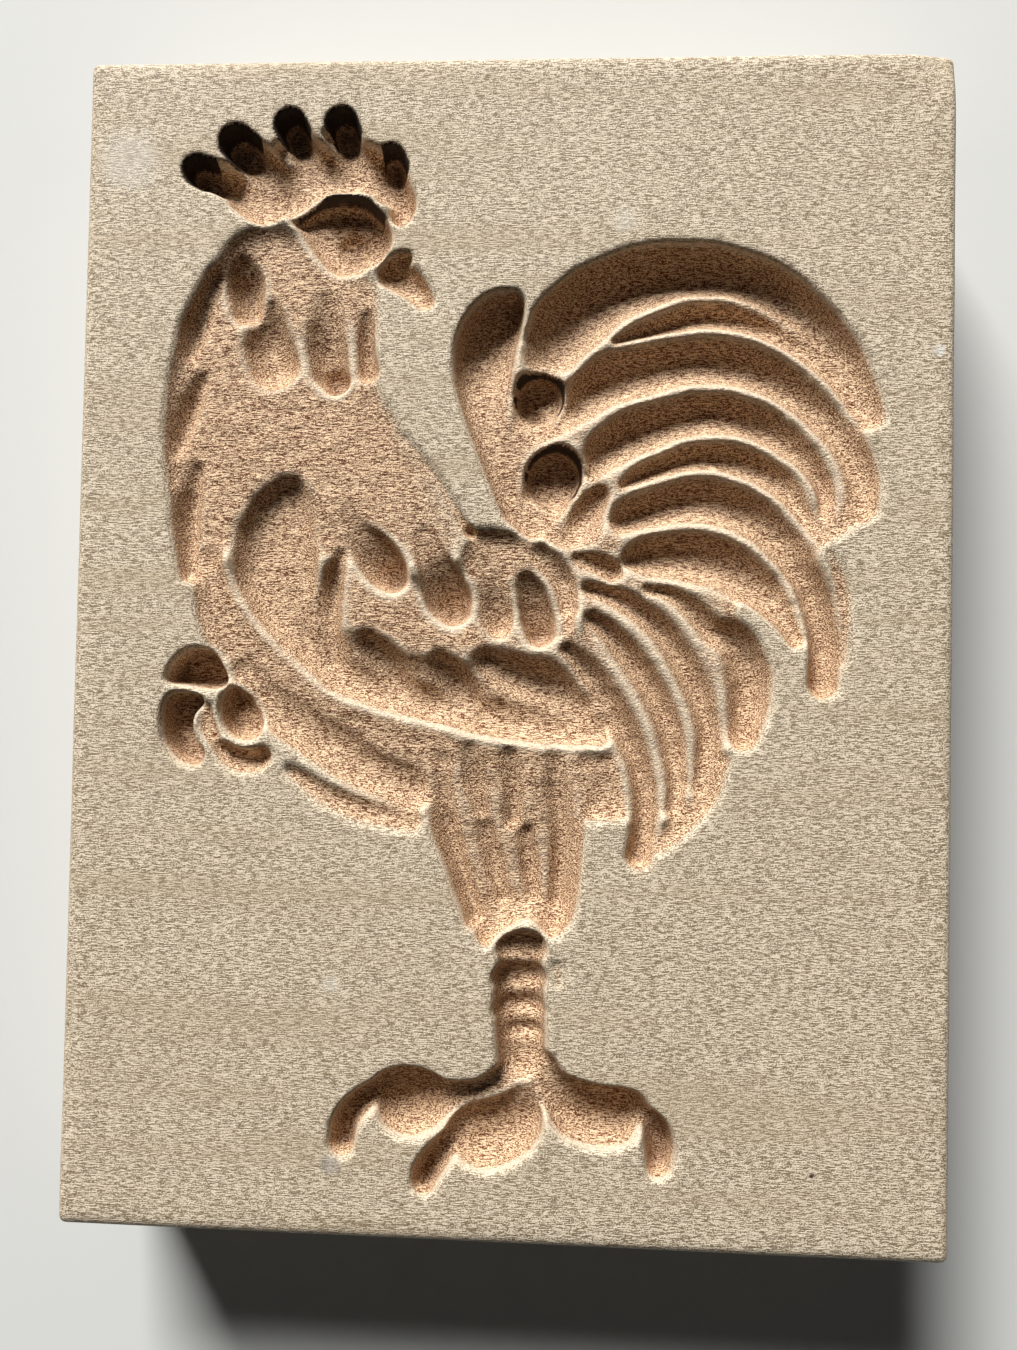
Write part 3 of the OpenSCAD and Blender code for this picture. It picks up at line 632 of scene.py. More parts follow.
def tail() -> list[Cut]:
    """The root of the tail with its small feathers, the seven long sickles and the lower feathers.

    Returns:
        Its cuts in the order of carving.
    """
    return [
        Hollow(
            [(0.4, 35.9), (-2.0, 35.4), (-3.7, 34.0), (-4.9, 32.0), (-5.6, 29.0), (-5.3, 26.0), (-4.3, 23.0),
             (-3.0, 19.5), (-1.8, 16.0), (-0.6, 13.2), (0.6, 11.9), (3.0, 11.0), (5.5, 9.6), (8.5, 9.8),
             (10.2, 11.5), (10.6, 14.5), (9.8, 17.0), (7.0, 19.0), (4.0, 21.0), (3.0, 24.0), (1.0, 27.0),
             (0.5, 29.0), (0.9, 31.5), (1.5, 34.0)],
            wall=1.5, floor=2.3, softness=Softness.WORN,
        ),
        Hollow(
            [(3.0, 33.0), (9.0, 36.0), (20.0, 38.0), (28.0, 35.0), (33.0, 30.0), (36.0, 24.0), (36.0, 16.0),
             (33.0, 12.0), (30.5, 7.0), (27.5, 5.0), (23.8, 4.4), (24.5, 0.0), (25.0, -6.0), (22.5, -10.0),
             (19.5, -14.0), (16.0, -18.0), (13.5, -14.0), (11.5, -9.0), (7.5, -2.0), (7.8, 4.0), (5.5, 9.5),
             (1.0, 13.0), (-1.5, 20.0), (-2.5, 27.0), (-0.5, 31.0)],
            wall=1.0, floor=1.0, softness=Softness.CRISP,
        ),
        *gouges(
            0.4, Softness.WORN,
            [(0.0, 34.8, 1.3, 4.6), (-1.2, 33.4, 2.4, 5.2), (-2.3, 31.0, 3.0, 5.2), (-2.6, 28.0, 2.9, 4.4),
             (-2.2, 25.0, 2.8, 3.4), (-1.2, 21.5, 2.5, 2.7), (0.2, 17.5, 2.1, 2.6), (1.6, 14.0, 1.9, 2.5),
             (3.0, 12.0, 1.4, 2.4)],
        ),
        *gouges(
            0.1, Softness.FLOWING,
            [(3.2, 28.2, 1.8, 2.8), (4.4, 30.6, 3.2, 4.2), (6.4, 33.2, 3.8, 4.8), (9.9, 36.0, 3.6, 5.0),
             (14.7, 37.9, 3.2, 5.2), (20.6, 38.4, 2.6, 5.0), (26.0, 36.9, 2.4, 4.6), (30.2, 34.0, 2.2, 4.2),
             (33.3, 30.2, 2.1, 3.6), (35.4, 26.4, 1.9, 2.8), (36.6, 23.6, 1.6, 1.8)],
            [(10.8, 31.2, 0.4, 2.4), (13.0, 32.2, 0.9, 3.4), (16.0, 33.3, 1.4, 4.2), (20.2, 34.3, 1.8, 4.6),
             (25.2, 33.4, 1.7, 4.4), (29.4, 31.3, 1.5, 3.8), (33.0, 28.0, 1.3, 3.0), (35.4, 24.6, 1.1, 2.0)],
            [(3.9, 21.2, 0.7, 2.4), (5.4, 22.9, 1.4, 3.2), (7.2, 24.8, 2.1, 4.2), (9.4, 26.8, 2.8, 4.8),
             (13.4, 28.2, 3.0, 5.0), (20.2, 29.4, 2.8, 5.0), (26.4, 28.0, 2.5, 4.6), (31.2, 24.5, 2.2, 4.0),
             (34.2, 20.9, 1.9, 3.4), (35.8, 17.2, 1.7, 2.6), (36.1, 14.2, 1.5, 1.9)],
            [(8.7, 17.8, 1.1, 3.0), (10.0, 19.9, 2.1, 4.2), (13.6, 22.0, 2.7, 4.8), (20.0, 23.9, 2.5, 4.8),
             (25.0, 23.1, 2.3, 4.6), (29.0, 20.8, 2.0, 4.2), (31.5, 18.0, 1.4, 4.0), (32.5, 15.6, 1.1, 3.8),
             (32.4, 13.8, 0.9, 2.6)],
            [(12.0, 16.4, 0.5, 2.4), (14.0, 17.6, 1.2, 3.8), (20.0, 19.5, 1.8, 4.4), (25.0, 18.6, 1.9, 4.4),
             (28.6, 16.2, 1.7, 3.8), (30.5, 13.2, 1.2, 2.8), (31.3, 11.8, 0.8, 1.8)],
            [(11.9, 12.8, 1.5, 3.6), (13.4, 13.5, 2.0, 4.2), (19.5, 14.9, 2.7, 4.8), (24.3, 13.7, 2.6, 4.6),
             (27.7, 11.2, 2.3, 4.2), (29.9, 7.9, 1.9, 4.0), (31.7, 4.0, 1.8, 4.0), (32.4, 0.0, 1.65, 3.8),
             (32.2, -3.7, 1.6, 3.4)],
            [(13.0, 8.7, 1.2, 3.6), (15.0, 9.1, 2.3, 4.4), (18.5, 9.1, 2.9, 4.7), (21.8, 8.3, 2.9, 4.6),
             (25.4, 6.4, 2.5, 4.0), (28.0, 3.9, 1.9, 3.2), (29.6, 1.0, 1.2, 2.4)],
            fall=Bottom.SCOOP,
        ),
        *gouges(
            0.8, Softness.CRISP,
            [(3.0, 25.6, 2.2, 6.4), (2.6, 23.6, 2.0, 4.6), (1.8, 21.8, 1.8, 3.0), (0.8, 20.2, 1.5, 2.4)],
            [(4.6, 17.3, 2.6, 6.0), (4.0, 15.4, 2.4, 4.6), (3.2, 13.8, 2.0, 3.0), (2.4, 12.6, 1.5, 2.4)],
        ),
        *gouges(
            0.85, Softness.KNIFE,
            [(3.1, 25.7, 2.2, 6.4), (3.0, 25.4, 2.2, 6.2)],
            [(4.7, 17.4, 2.6, 6.2), (4.6, 17.1, 2.6, 6.0)],
            # The walls of the two pits carry painted shadow.
            painted_shadow=0.9,
        ),
        *gouges(
            0.2, Softness.CRISP,
            [(9.3, 15.2, 1.3, 3.8), (8.3, 13.6, 1.8, 4.2), (7.2, 12.0, 1.7, 3.6), (6.4, 11.0, 1.2, 2.6)],
            [(7.4, 8.7, 0.8, 2.2), (9.4, 8.2, 1.2, 2.8), (11.0, 7.4, 1.2, 3.0)],
        ),
        *gouges(
            0.05, Softness.FLOWING,
            [(14.4, 5.7, 0.5, 2.0), (17.0, 5.2, 0.9, 2.8), (19.2, 3.6, 1.3, 3.2), (21.2, 1.6, 1.6, 3.4),
             (23.4, 0.4, 2.1, 3.6), (24.7, -2.6, 2.4, 3.8), (24.8, -5.8, 2.2, 3.8), (24.2, -8.9, 1.8, 3.2)],
            [(8.6, 5.6, 0.8, 2.6), (11.2, 4.9, 1.2, 3.2), (14.2, 3.2, 1.5, 3.6), (16.7, 0.8, 1.7, 3.8),
             (18.6, -2.2, 1.8, 3.8), (20.0, -5.2, 1.8, 3.8), (20.8, -8.4, 1.7, 3.6), (20.8, -11.4, 1.6, 3.2),
             (20.2, -14.4, 1.4, 2.6)],
            [(9.0, 2.6, 0.8, 2.6), (10.8, 1.2, 1.4, 3.4), (13.2, -1.6, 1.7, 3.8), (15.2, -4.6, 1.8, 3.9),
             (16.7, -7.8, 1.8, 3.9), (17.5, -11.0, 1.7, 3.6), (17.9, -14.2, 1.5, 3.2),
             (17.7, -16.8, 1.3, 2.6)],
            [(6.4, -0.8, 0.9, 2.6), (8.4, -2.8, 1.7, 3.4), (10.4, -5.6, 2.0, 3.8), (12.4, -8.8, 2.0, 4.0),
             (13.9, -12.0, 1.8, 4.0), (14.6, -15.2, 1.7, 3.9), (14.6, -18.6, 1.65, 3.6),
             (14.1, -21.4, 1.5, 3.2)],
            fall=Bottom.PARABOLA,
        ),
        *gouges(
            0.1, Softness.WORN,
            [(22.0, -11.6, 1.0, 1.5), (20.4, -15.4, 1.4, 1.7), (17.6, -18.6, 1.3, 1.6),
             (15.8, -20.6, 0.8, 1.2)],
            [(32.6, 9.6, 0.5, 0.7), (33.7, 6.4, 0.9, 1.0), (34.1, 2.5, 0.8, 1.0), (33.9, -1.5, 0.7, 0.9)],
        ),
        Hollow(
            [(30.0, 20.0), (33.0, 21.8), (36.0, 20.5), (37.3, 16.0), (36.9, 13.0), (35.0, 12.0),
             (33.4, 10.8), (31.6, 10.2), (30.2, 13.0), (28.6, 17.0)],
            wall=1.2, floor=1.2, softness=Softness.CRISP,
        ),
    ]


@dataclass
class Carving:
    """The whole picture as a depth below the face, with the wander and chatter of the hand tool."""

    relief: float = 0.75
    worn_turns: int = 3
    wander: float = 0.12
    wander_spacing: float = 3.0
    chatter: float = 0.07
    chatter_full: float = 1.2
    fine_spacing: Point = (1.4, 0.7)
    broad_spacing: Point = (2.6, 2.2)
    broad_share: float = 0.7
    # Painted shadow covers a cut's walls down to this share of its greatest depth, and fades out over the
    # next share.
    shadow_down_to: float = 0.8
    shadow_fade: float = 0.15
    rim: float = 1.0
    fresh_full: float = 0.8
    cuts: list[Cut] = field(default_factory=list)
    noise: list[Unevenness] = field(default_factory=list)

    def __post_init__(self) -> None:
        """Gathers the cuts in the order of carving and draws the seeded noise."""
        self.cuts = [*neck(), *wing(), *head(), *comb(), *body(), *leg(), *flower(), *tail()]
        self.noise = [Unevenness(seed) for seed in range(5)]

    def signed(self, x: Array, y: Array) -> tuple[Array, Array]:
        """Depth of all cuts folded together, before the face stops it, and the painted shadow on their walls.

        The deepest cut at a place decides on the painted shadow. It lies above a set share of that cut's
        greatest depth, so it paints the walls dark as if in shade, and leaves the floor.

        Args:
            x: places across the board.
            y: places up the board.

        Returns:
            The signed depth, zero along every rim, and the painted shadow from 0 to 1.
        """
        spacing = (self.wander_spacing, self.wander_spacing)
        u = x + self.wander * self.noise[0].at(x, y, *spacing)
        v = y + self.wander * self.noise[1].at(x, y, *spacing)
        depth, dirt = np.full(x.shape, OUTSIDE), np.zeros(x.shape)
        for cut in self.cuts:
            own = cut.depth(u, v)
            wall = np.clip((self.shadow_down_to - own / own.max()) / self.shadow_fade, 0, 1) * (own > -self.rim)
            # Painted shadow: the walls of the deepest cut here are painted dark, as if in shade.
            dirt = np.where(own > depth, cut.painted_shadow * wall, dirt)
            depth = soft_max(depth, own, cut.softness.value)
        return depth, dirt

    def depth(self, x: Array, y: Array) -> tuple[Array, Array, Array]:
        """Depth below the face on a square lattice: the folded cuts, worn round, and the chatter of the tool.

        Args:
            x: places across the board, rows of equal steps.
            y: places up the board.

        Returns:
            Depth in millimetres, zero on the uncarved ground; where the wood is cut, from 0 to 1, with the
            step just outside the rim so that a wall has one colour; and the painted shadow on the walls from
            0 to 1.
        """
        signed, dirt = self.signed(x, y)
        deep = self.relief * blurred(np.maximum(signed, 0), self.worn_turns)
        fine = self.noise[2].at(x, y, *self.fine_spacing)
        ripple = fine + self.broad_share * self.noise[3].at(x, y, *self.broad_spacing)
        deep = deep + self.chatter * ripple * np.clip(deep / self.chatter_full, 0, 1)
        around = np.clip(blurred(deep, 2 * self.worn_turns) / self.fresh_full, 0, 1)
        return deep, np.clip(1 + signed / self.rim, 0, 1) * around, dirt


@dataclass
class CarvedBoard:
    """The board: a face of cells that halve where the carving turns, worn edges, sides and a flat back."""

    width: float
    height: float
    thickness: float
    edge_round: float = 0.85
    cell: float = 1.2
    halvings: int = 3
    bend: float = 0.42
    cut_ground: float = 0.01
    margin: int = 12
    corner_turns: int = 4
    edge_turns: int = 3
    side_rows: int = 2
    crest_turns: int = 30
    cavity_turns: int = 80
    wear_depth: float = 0.16
    wear_reach: float = 1.4
    wear_spacing: float = 9.0
    knock_depth: float = 0.9
    knock_reach: float = 3.2
    carving: Carving = field(default_factory=Carving)

    def lines(self) -> tuple[Array, Array]:
        """Lines of the finest lattice.

        Returns:
            Their places across the face and up it.
        """
        halves = (self.width / 2 - self.edge_round, self.height / 2 - self.edge_round)
        parts = 2 ** self.halvings
        across, up = (np.linspace(-h, h, round(2 * h / self.cell) * parts + 1) for h in halves)
        return across, up

    def wanted(self, deep: Array) -> Array:
        """How often each cell of the second finest lattice is to be halved.

        Cut ground is halved once less than fully, and fully where the second difference of its depth,
        |d(i+1) + d(i-1) - 2 d(i)| over both directions, passes the bend. That keeps the finest cells for the
        sharpest rims and ridges, so that the board stays under 200,000 triangles.

        Args:
            deep: depth on the points of that lattice.

        Returns:
            Halvings, one number for each cell.
        """
        p = np.pad(deep, 1, mode="edge")
        bend = np.abs(p[1:-1, 2:] + p[1:-1, :-2] - 2 * deep) + np.abs(p[2:, 1:-1] + p[:-2, 1:-1] - 2 * deep)
        want = np.where(deep > self.cut_ground, self.halvings - 1, 0)
        want = np.where(bend > self.bend, self.halvings, want)
        want[[0, -1], :] = want[:, [0, -1]] = 1
        want = np.maximum.reduce([want[:-1, :-1], want[:-1, 1:], want[1:, :-1], want[1:, 1:]])
        m = self.margin
        inner = np.zeros(want.shape, bool)
        inner[m:-m, m:-m] = True
        return np.where(inner, want, np.maximum(want, 1))

    def leaves(self, want: Array) -> list[tuple[Array, Array, int]]:
        """Square cells that fill the face, neighbours at most one halving apart.

        From fine to coarse, a cell is split where it holds a cell that must exist, and the neighbours
        of a split cell must exist. From coarse to fine, what is not split is a leaf.

        Args:
            want: halvings that each cell of the second finest lattice asks for.

        Returns:
            Rows, columns and side of the leaves of each size, in steps of the finest lattice.
        """
        split, splits = want >= self.halvings, []
        for level in range(self.halvings - 1, -1, -1):
            splits.append(split)
            p = np.pad(split, 1)
            p = p[:-2] | p[1:-1] | p[2:]
            held = (want >= level) | p[:, :-2] | p[:, 1:-1] | p[:, 2:]
            blocks = (want.shape[0] // 2, 2, want.shape[1] // 2, 2)
            if level:
                split, want = held.reshape(blocks).any((1, 3)), want.reshape(blocks).max((1, 3))
        found, side = [], 2 ** self.halvings
        alive = np.ones(split.shape, bool)
        for split in reversed(splits):
            found.append((*(n * side for n in np.nonzero(alive & ~split)), side))
            alive = np.repeat(np.repeat(split, 2, 0), 2, 1)
            side //= 2
        return [*found, (*np.nonzero(alive), side)]

    def wear(self, x: Array, y: Array) -> Array:
        """How far use has taken down the face near its edges: waves along them and one knocked corner.

        Args:
            x: places across the board.
            y: places up the board.

        Returns:
            Millimetres below the flat face.
        """
        inset = np.minimum(self.width / 2 - np.abs(x), self.height / 2 - np.abs(y))
        waves = 0.5 + 0.5 * self.carving.noise[4].at(x, y, self.wear_spacing, self.wear_spacing)
        corner = np.hypot(x - self.width / 2, y - self.height / 2)
        edges = self.wear_depth * waves * np.exp(-(inset / self.wear_reach) ** 2)
        return edges + self.knock_depth * np.exp(-(corner / self.knock_reach) ** 2)

    def cells(self, lattice: Array) -> tuple[Array, Array, list[list[int]]]:
        """Points and polygons of the face; a cell takes in the points of smaller neighbours on its sides.

        Args:
            lattice: depth on the finest lattice.

        Returns:
            Which points of the lattice the face has, their numbers, less than zero where there is none,
            and the polygons as lists of these numbers.
        """
        leaves = self.leaves(self.wanted(lattice[::2, ::2]))
        used = np.zeros(lattice.shape, bool)
        for row, col, side in leaves:
            for r, c in ((row, col), (row, col + side), (row + side, col), (row + side, col + side)):
                used[r, c] = True
        index = np.full(used.shape, -1)
        index[used] = np.arange(used.sum())
        polygons = []
        for row, col, side in leaves:
            h = side // 2
            turn = ((0, 0), (0, h), (0, side), (h, side), (side, side), (side, h), (side, 0), (h, 0))
            ring = np.stack([index[row + r, col + c] for r, c in (turn if h else turn[::2])], -1)
            polygons += [p[p >= 0].tolist() for p in ring]
        return used, index, polygons

    def skirt(self, face: Array, index: Array) -> tuple[Array, list[list[int]]]:
        """Edges, sides and back: rings of points from the border of the face down to the back.

        The rings follow a quarter circle, b + e (n sin a, cos a - 1), go straight down the sides and turn
        under by another quarter circle.

        Args:
            face: points of the face.
            index: numbers of the lattice's points, less than zero where there is none.

        Returns:
            The points of the rings, and the polygons between them and of the back.
        """
        border, outward = self.border(index)
        base = face[border]
        e = self.edge_round
        low = self.thickness - 2 * e
        top = [(e * math.sin(a), -e * (1 - math.cos(a))) for a in self.quarter()]
        sides = [(e, -e - low * k / (self.side_rows + 1)) for k in range(1, self.side_rows + 1)]
        under = [(e * math.cos(a), -e - low - e * math.sin(a)) for a in (0.0, *self.quarter())]
        rings = []
        for out, drop in (*top, *sides, *under):
            held = max(0.0, 1 + drop / self.thickness)
            z = np.maximum(base[:, 2] * held + self.thickness * (1 - held) + drop, 0)
            rings.append(np.column_stack([base[:, :2] + out * outward, z]))
        numbers = len(face) + np.arange(len(rings) * len(border)).reshape(len(rings), -1)
        steps = np.vstack([border, numbers])
        ahead = np.roll(steps, -1, 1)
        quads = np.stack([steps[:-1], steps[1:], ahead[1:], ahead[:-1]], -1).reshape(-1, 4)
        pinched = quads[:, 0] == quads[:, 3]
        back = steps[-1][::-1].tolist()
        return np.vstack(rings), [*quads[~pinched].tolist(), *quads[pinched][:, :3].tolist(), back]

    def mesh(self, name: str) -> bpy.types.Object:
        """Builds the closed surface of the board and stores what the finish reads from it.

        The face has z = thickness - depth - wear, and the skirt closes it below.

        Args:
            name: name of the piece.

        Returns:
            The board as an object at the origin, in metres, with the back on z = 0.
        """
        across, up = self.lines()
        lattice, cut, dirt = self.carving.depth(*np.meshgrid(across, up))
        used, index, polygons = self.cells(lattice)
        rows, cols = np.nonzero(used)
        x, y = across[cols], up[rows]
        face = np.column_stack([x, y, self.thickness - lattice[used] - self.wear(x, y)])
        rings, below = self.skirt(face, index)
        points = np.vstack([face, rings])

        data = bpy.data.meshes.new(name)
        data.from_pydata((points * MM).tolist(), [], polygons + below)
        data.polygons.foreach_set("use_smooth", np.ones(len(data.polygons), bool))
        data.update()
        piece = bpy.data.objects.new(name, data)
        bpy.context.scene.collection.objects.link(piece)
        self.mark(data, len(points), lattice, used, cut=cut, dirt=dirt)
        return piece

    def quarter(self) -> list[float]:
        """Angles of the steps round a quarter circle, after its start."""
        return [math.pi / 2 * k / self.edge_turns for k in range(1, self.edge_turns + 1)]

    def border(self, index: Array) -> tuple[Array, Array]:
        """Points round the face in order, with each corner repeated for its turn.

        Args:
            index: numbers of the lattice's points, less than zero where there is none.

        Returns:
            The numbers, counter-clockwise from the lower left, and the outward direction of each.
        """
        numbers, angles = [], []
        for k, run in enumerate((index[0, :], index[:, -1], index[-1, ::-1], index[::-1, 0])):
            run = run[run >= 0]
            start = -math.pi / 2 + k * math.pi / 2
            turn = start - math.pi / 2 + math.pi / 2 * np.arange(1, self.corner_turns) / self.corner_turns
            numbers += [np.full(len(turn), run[0]), run]
            angles += [turn, np.full(len(run), start)]
        angle = np.concatenate(angles)
        return np.concatenate(numbers), np.column_stack([np.cos(angle), np.sin(angle)])

    def mark(self, data: bpy.types.Mesh, count: int, lattice: Array, used: Array, **more: Array) -> None:
        """Stores the depth of the carving, its crests, its hollows and more such values with the mesh.

        A crest stands above the mean of its close surroundings, and a hollow lies below the mean of
        its wide ones: each is the depth against the mean depth over a window of that size.

        Args:
            data: mesh that takes the attributes.
            count: number of its points; those of the face come first.
            lattice: depth on the finest lattice.
            used: which of its points the face has.
            **more: other values on that lattice, by name.
        """
        crest = blurred(lattice, self.crest_turns) - lattice
        cavity = lattice - blurred(lattice, self.cavity_turns)
        more |= {"depth": lattice, "crest": crest, "cavity": cavity}
        for name, values in more.items():
            layer = data.attributes.new(name, "FLOAT", "POINT")
            layer.data.foreach_set("value", np.pad(values[used], (0, count - used.sum())).astype(np.float32))


def add_node(
    tree: bpy.types.NodeTree, kind: str, settings: dict | None = None, **links: object,
) -> bpy.types.Node:
    """Adds one shader node.

    Args:
        tree: node tree that takes the node.
        kind: the node's type name.
        settings: properties of the node by name.
        **links: inputs by name, or by number as i0 and so on; a socket is linked, anything else is set.

    Returns:
        The new node.
    """
    node = tree.nodes.new(kind)
    for key, value in (settings or {}).items():
        setattr(node, key, value)
    for key, value in links.items():
        numbered = key[0] == "i" and key[1:].isdigit()
        socket = node.inputs[int(key[1:])] if numbered else node.inputs[key.replace("_", " ")]
        if isinstance(value, bpy.types.NodeSocket):
            tree.links.new(value, socket)
        else:
            socket.default_value = value
    return node


@dataclass(frozen=True)
class PearWood:
    """Bare pear wood, planed and carved by hand: a close grain of short pale fibres without gloss.

    Where the gouge has been it looks warmer and rougher. The crests are worn pale and also carry a painted
    highlight, the deep places carry painted shade, and the walls of a few deep cuts carry painted shadow. The
    real fibres are a few hundredths of a millimetre wide, too fine to show, so they are drawn as coarse as
    the render needs.
    """

    pale: str = "#f2e1c6"
    dull: str = "#8c795f"
    streak: str = "#b49f7e"
    cut: str = "#f6d3ab"
    cut_dark: str = "#6b3b19"
    # Crests worn pale, and painted brighter still as a highlight on the ridges.
    worn_pale_and_highlight: str = "#f4e6cc"
    # Painted shade, laid in the hollows: the lower a place lies below its wide surroundings, the darker.
    hollow_shade_colour: str = "#4a230e"
    # Painted shadow, laid on the walls of a few deep cuts.
    painted_shadow_colour: str = "#140502"
    roughness: float = 0.62
    ior: float = 1.5
    specular: float = 0.3
    noise_detail: float = 2.0
    streak_mm: tuple[float, float] = (46.0, 4.0)
    fibre_mm: tuple[float, float] = (0.8, 0.11)
    speck_mm: tuple[float, float] = (0.14, 0.11)
    grain_mm: tuple[float, float] = (0.34, 0.26)
    relief_mm: float = 0.07
    rough_mm: float = 0.16
    marks: tuple[Mark, ...] = (
        (-40.4, 50.1, 4.4, "#f0ebe0", 0.3),
        (11.6, 43.4, 1.8, "#f4ecdc", 0.3),
        (43.3, 30.0, 0.8, "#f2f2ee", 0.5),
        (-17.1, -35.3, 1.2, "#f4ecdc", 0.35),
        (-16.7, -53.4, 1.4, "#8d8f92", 0.4),
        (31.5, -52.5, 0.35, "#2a1a10", 0.9),
    )

    def spot(
        self, tree: bpy.types.NodeTree, place: bpy.types.NodeSocket, mark: Mark, face: float,
    ) -> bpy.types.NodeSocket:
        """Share of one mark of use: full over the inner third of its radius, gone at the radius.

        Args:
            tree: node tree that takes the nodes.
            place: the place on the board.
            mark: where it is on the face, its radius, its colour and its share.
            face: height of the carved face in metres.

        Returns:
            The share, from 0 to its most.
        """
        x, y, radius, _, most = mark
        away = add_node(
            tree, "ShaderNodeVectorMath", {"operation": "DISTANCE"}, i0=place, i1=(x * MM, y * MM, face),
        )
        step = add_node(
            tree, "ShaderNodeMapRange", {"interpolation_type": "SMOOTHSTEP"},
            Value=away.outputs["Value"], From_Min=radius * MM, From_Max=radius * MM / 3, To_Max=most,
        )
        return step.outputs[0]

    def material(self, face: float) -> bpy.types.Material:
        """Builds the finish from fibres in the board's own place and from what the mesh says of the carving.

        Args:
            face: height of the carved face in metres.

        Returns:
            The material. Each of its layers covers those before it by its own share.
        """
        mat = bpy.data.materials.new("bare_pear_wood")
        mat.use_nodes = True
        tree = mat.node_tree
        tree.nodes.clear()
        place = add_node(tree, "ShaderNodeTexCoord").outputs["Object"]
        value = {}
        for name in ("depth", "crest", "cavity", "cut", "dirt"):
            value[name] = add_node(tree, "ShaderNodeAttribute", {"attribute_name": name}).outputs["Fac"]
        for name, (along, across) in (
            ("streak", self.streak_mm),
            ("fibre", self.fibre_mm),
            ("speck", self.speck_mm),
            ("grain", self.grain_mm),
        ):
            scale = (1 / (along * MM), 1 / (across * MM), 1 / (across * MM))
            drawn = add_node(tree, "ShaderNodeMapping", Vector=place, Scale=scale)
            noise = add_node(
                tree, "ShaderNodeTexNoise", Vector=drawn.outputs[0], Scale=1.0, Detail=self.noise_detail,
            )
            value[name] = noise.outputs["Fac"]
        weave = add_node(tree, "ShaderNodeMath", {"operation": "ADD"}, i0=value["fibre"], i1=value["speck"])
        value["weave"] = weave.outputs[0]

        share = {}
        for name, source, low, high, most in (
            ("fibres", "weave", 0.92, 1.08, 1.0),
            ("streaks", "streak", 0.45, 0.75, 0.35),
            ("carved", "cut", 0.1, 0.9, 1.0),
            ("inside", "cut", 0.1, 0.6, 1.0),
            # Crests inside the cuts: worn pale, and a painted highlight as well.
            ("crests", "crest", 0.05, 0.4, 0.5),
            # Painted shade in the hollows, by how far a place lies below its wide surroundings.
            ("hollows", "cavity", 0.3, 2.0, 0.54),
            # Painted shadow on the walls of a few deep cuts.
            ("deepest", "dirt", 0.0, 0.9, 0.95),
            ("shallow", "depth", 3.0, 1.2, 1.0),
        ):
            step = add_node(
                tree, "ShaderNodeMapRange", {"interpolation_type": "SMOOTHSTEP"},
                Value=value[source], From_Min=low, From_Max=high, To_Max=most,
            )
            share[name] = step.outputs[0]
        times = {"operation": "MULTIPLY"}
        # Worn pale crests in the shallow parts of the cuts, which also stand as a painted highlight on the
        # ridges.
        inner = add_node(tree, "ShaderNodeMath", times, i0=share["crests"], i1=share["inside"])
        rims = add_node(tree, "ShaderNodeMath", times, i0=inner.outputs[0], i1=share["shallow"])

        # A mix of colours takes its share in input 0 and its colours in 6 and 7, and gives output 2.
        inside = add_node(
            tree, "ShaderNodeMix", {"data_type": "RGBA"},
            i0=share["fibres"], i6=to_linear(self.cut), i7=to_linear(self.cut_dark),
        )
        colour = to_linear(self.pale)
        for part, cover in (
            (share["fibres"], to_linear(self.dull)),
            (share["streaks"], to_linear(self.streak)),
            (share["carved"], inside.outputs[2]),
            # Worn pale crests that also carry a painted highlight.
            (rims.outputs[0], to_linear(self.worn_pale_and_highlight)),
            # Painted shade in the hollows.
            (share["hollows"], to_linear(self.hollow_shade_colour)),
            # Painted shadow on the walls of a few deep cuts.
            (share["deepest"], to_linear(self.painted_shadow_colour)),
            *((self.spot(tree, place, mark, face), to_linear(mark[3])) for mark in self.marks),
        ):
            layer = add_node(tree, "ShaderNodeMix", {"data_type": "RGBA"}, i0=part, i6=colour, i7=cover)
            colour = layer.outputs[2]

        torn = add_node(tree, "ShaderNodeMath", times, i0=value["grain"], i1=share["inside"])
        height = add_node(
            tree, "ShaderNodeMath", {"operation": "MULTIPLY_ADD"},
            i0=torn.outputs[0], i1=self.rough_mm / self.relief_mm, i2=value["weave"],
        )
        bump = add_node(
            tree, "ShaderNodeBump", Strength=1.0, Distance=self.relief_mm * MM, Height=height.outputs[0],
        )
        shader = add_node(
            tree, "ShaderNodeBsdfPrincipled", Base_Color=colour, Roughness=self.roughness, IOR=self.ior,
            Specular_IOR_Level=self.specular, Normal=bump.outputs[0],
        )
        add_node(tree, "ShaderNodeOutputMaterial", Surface=shader.outputs[0])
        return mat


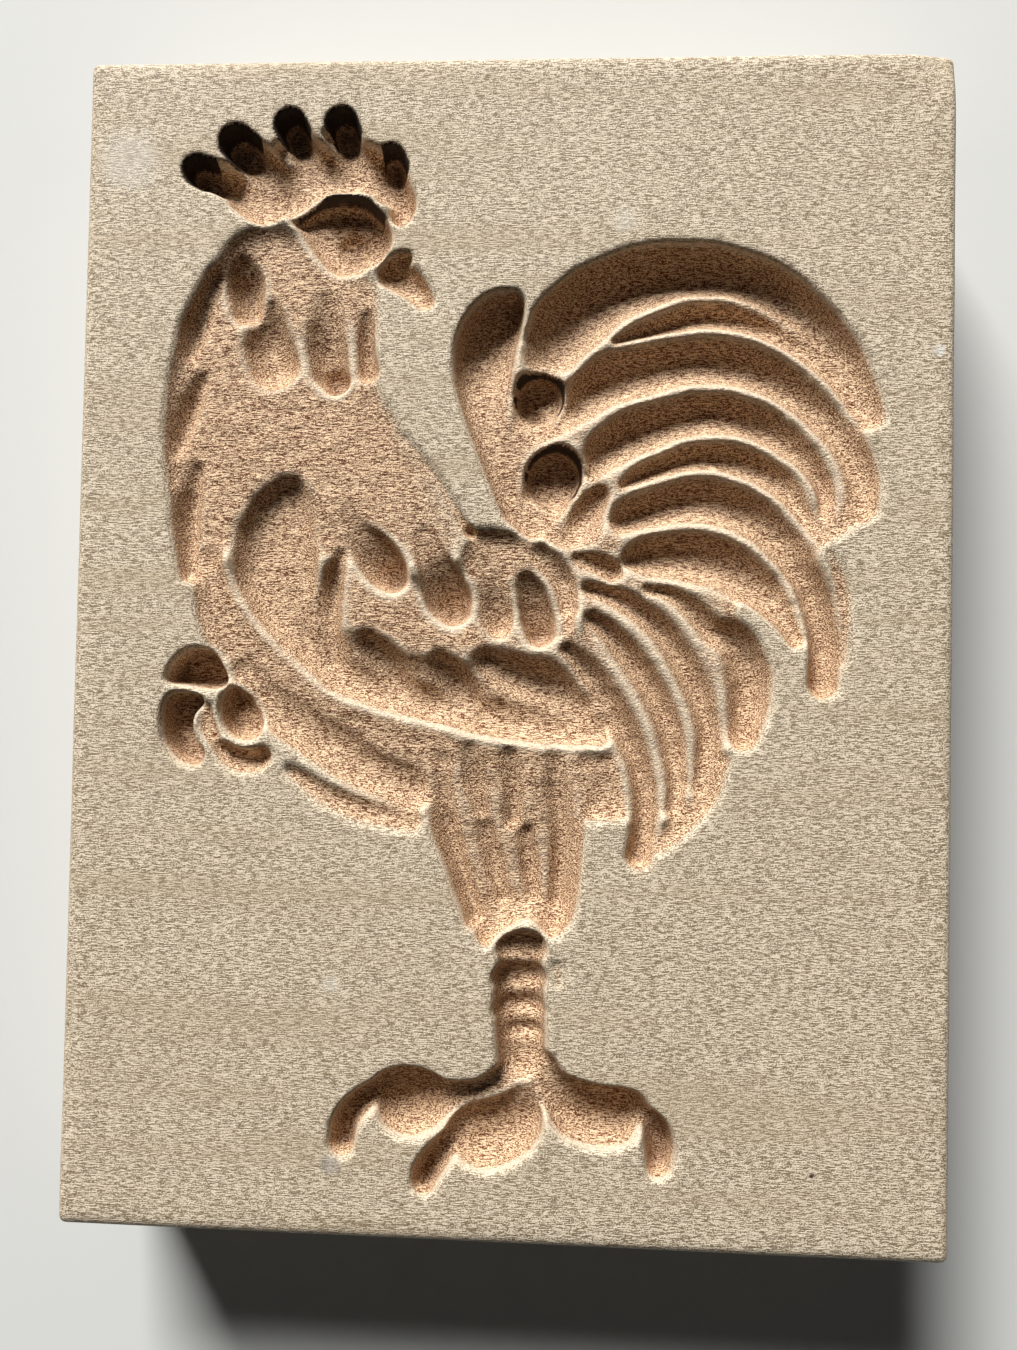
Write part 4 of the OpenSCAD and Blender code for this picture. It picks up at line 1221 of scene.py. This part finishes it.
@dataclass
class Studio:
    """Plain pale floor, soft light from above the comb, and the photograph's camera."""

    floor_colour: str = "#dcdcd8"
    floor_half: float = 1.5
    floor_roughness: float = 0.9
    key_direction: tuple[float, float, float] = (-0.30, 0.95, 0.60)
    key_distance: float = 3.0
    key_size: float = 1.2
    key_power: float = 178.0
    sky: float = 0.03
    focal_px: float = 1013.0
    clip_start: float = 0.005
    eye_mm: tuple[float, float, float] = (5.853, -6.062, 103.0)
    right: tuple[float, float, float] = (0.9985, 0.0191, -0.0512)
    up: tuple[float, float, float] = (-0.0177, 0.9995, 0.0267)

    def floor(self) -> None:
        """Lays the floor under the back of the board."""
        h = self.floor_half
        data = bpy.data.meshes.new("floor")
        data.from_pydata([(-h, -h, 0), (h, -h, 0), (h, h, 0), (-h, h, 0)], [], [(0, 1, 2, 3)])
        mat = bpy.data.materials.new("pale_floor")
        mat.use_nodes = True
        shader = mat.node_tree.nodes["Principled BSDF"]
        shader.inputs["Base Color"].default_value = to_linear(self.floor_colour)
        shader.inputs["Roughness"].default_value = self.floor_roughness
        data.materials.append(mat)
        piece = bpy.data.objects.new("floor", data)
        bpy.context.scene.collection.objects.link(piece)

    def light(self) -> None:
        """Hangs one soft lamp and sets an even sky."""
        lamp = bpy.data.lights.new("window", "AREA")
        lamp.shape = "SQUARE"
        lamp.size = self.key_size
        lamp.energy = self.key_power
        piece = bpy.data.objects.new("window", lamp)
        away = Vector(self.key_direction).normalized()
        piece.location = away * self.key_distance
        piece.rotation_euler = away.to_track_quat("Z", "Y").to_euler()
        bpy.context.scene.collection.objects.link(piece)
        world = bpy.data.worlds.new("even_sky")
        world.use_nodes = True
        sky = world.node_tree.nodes["Background"]
        sky.inputs["Color"].default_value = (1, 1, 1, 1)
        sky.inputs["Strength"].default_value = self.sky
        bpy.context.scene.world = world

    def camera(self, face_height: float) -> None:
        """Sets the camera where the photograph was taken from.

        Args:
            face_height: height of the carved face above the floor, in metres.
        """
        data = bpy.data.cameras.new("camera")
        data.sensor_width = SENSOR_MM
        data.lens = self.focal_px / PHOTO_HEIGHT_PX * SENSOR_MM
        data.clip_start = self.clip_start
        right, up = Vector(self.right).normalized(), Vector(self.up)
        back = right.cross(up).normalized()
        up = back.cross(right)
        turn = Matrix((right, up, back)).transposed().to_4x4()
        eye = Vector(self.eye_mm) * MM + Vector((0, 0, face_height))
        piece = bpy.data.objects.new("camera", data)
        piece.matrix_world = Matrix.Translation(eye) @ turn
        bpy.context.scene.collection.objects.link(piece)
        bpy.context.scene.camera = piece


def main() -> None:
    """Builds the board, dresses it and sets the stage."""
    logging.basicConfig(level=logging.INFO, format="%(name)s: %(message)s")
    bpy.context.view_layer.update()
    low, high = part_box(CAD_NODE)
    size = [(b - a) / MM for a, b in zip(low, high)]
    board = CarvedBoard(*size)
    piece = board.mesh("carved_board")
    piece.data.materials.append(PearWood().material(high[2]))
    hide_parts(CAD_NODE)
    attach(piece, BODY)
    log.info("carved_board: %d points, %d faces", len(piece.data.vertices), len(piece.data.polygons))

    studio = Studio()
    studio.floor()
    studio.light()
    studio.camera(high[2])
    bpy.context.scene.view_settings.view_transform = "Standard"


if __name__ == "__main__":
    main()
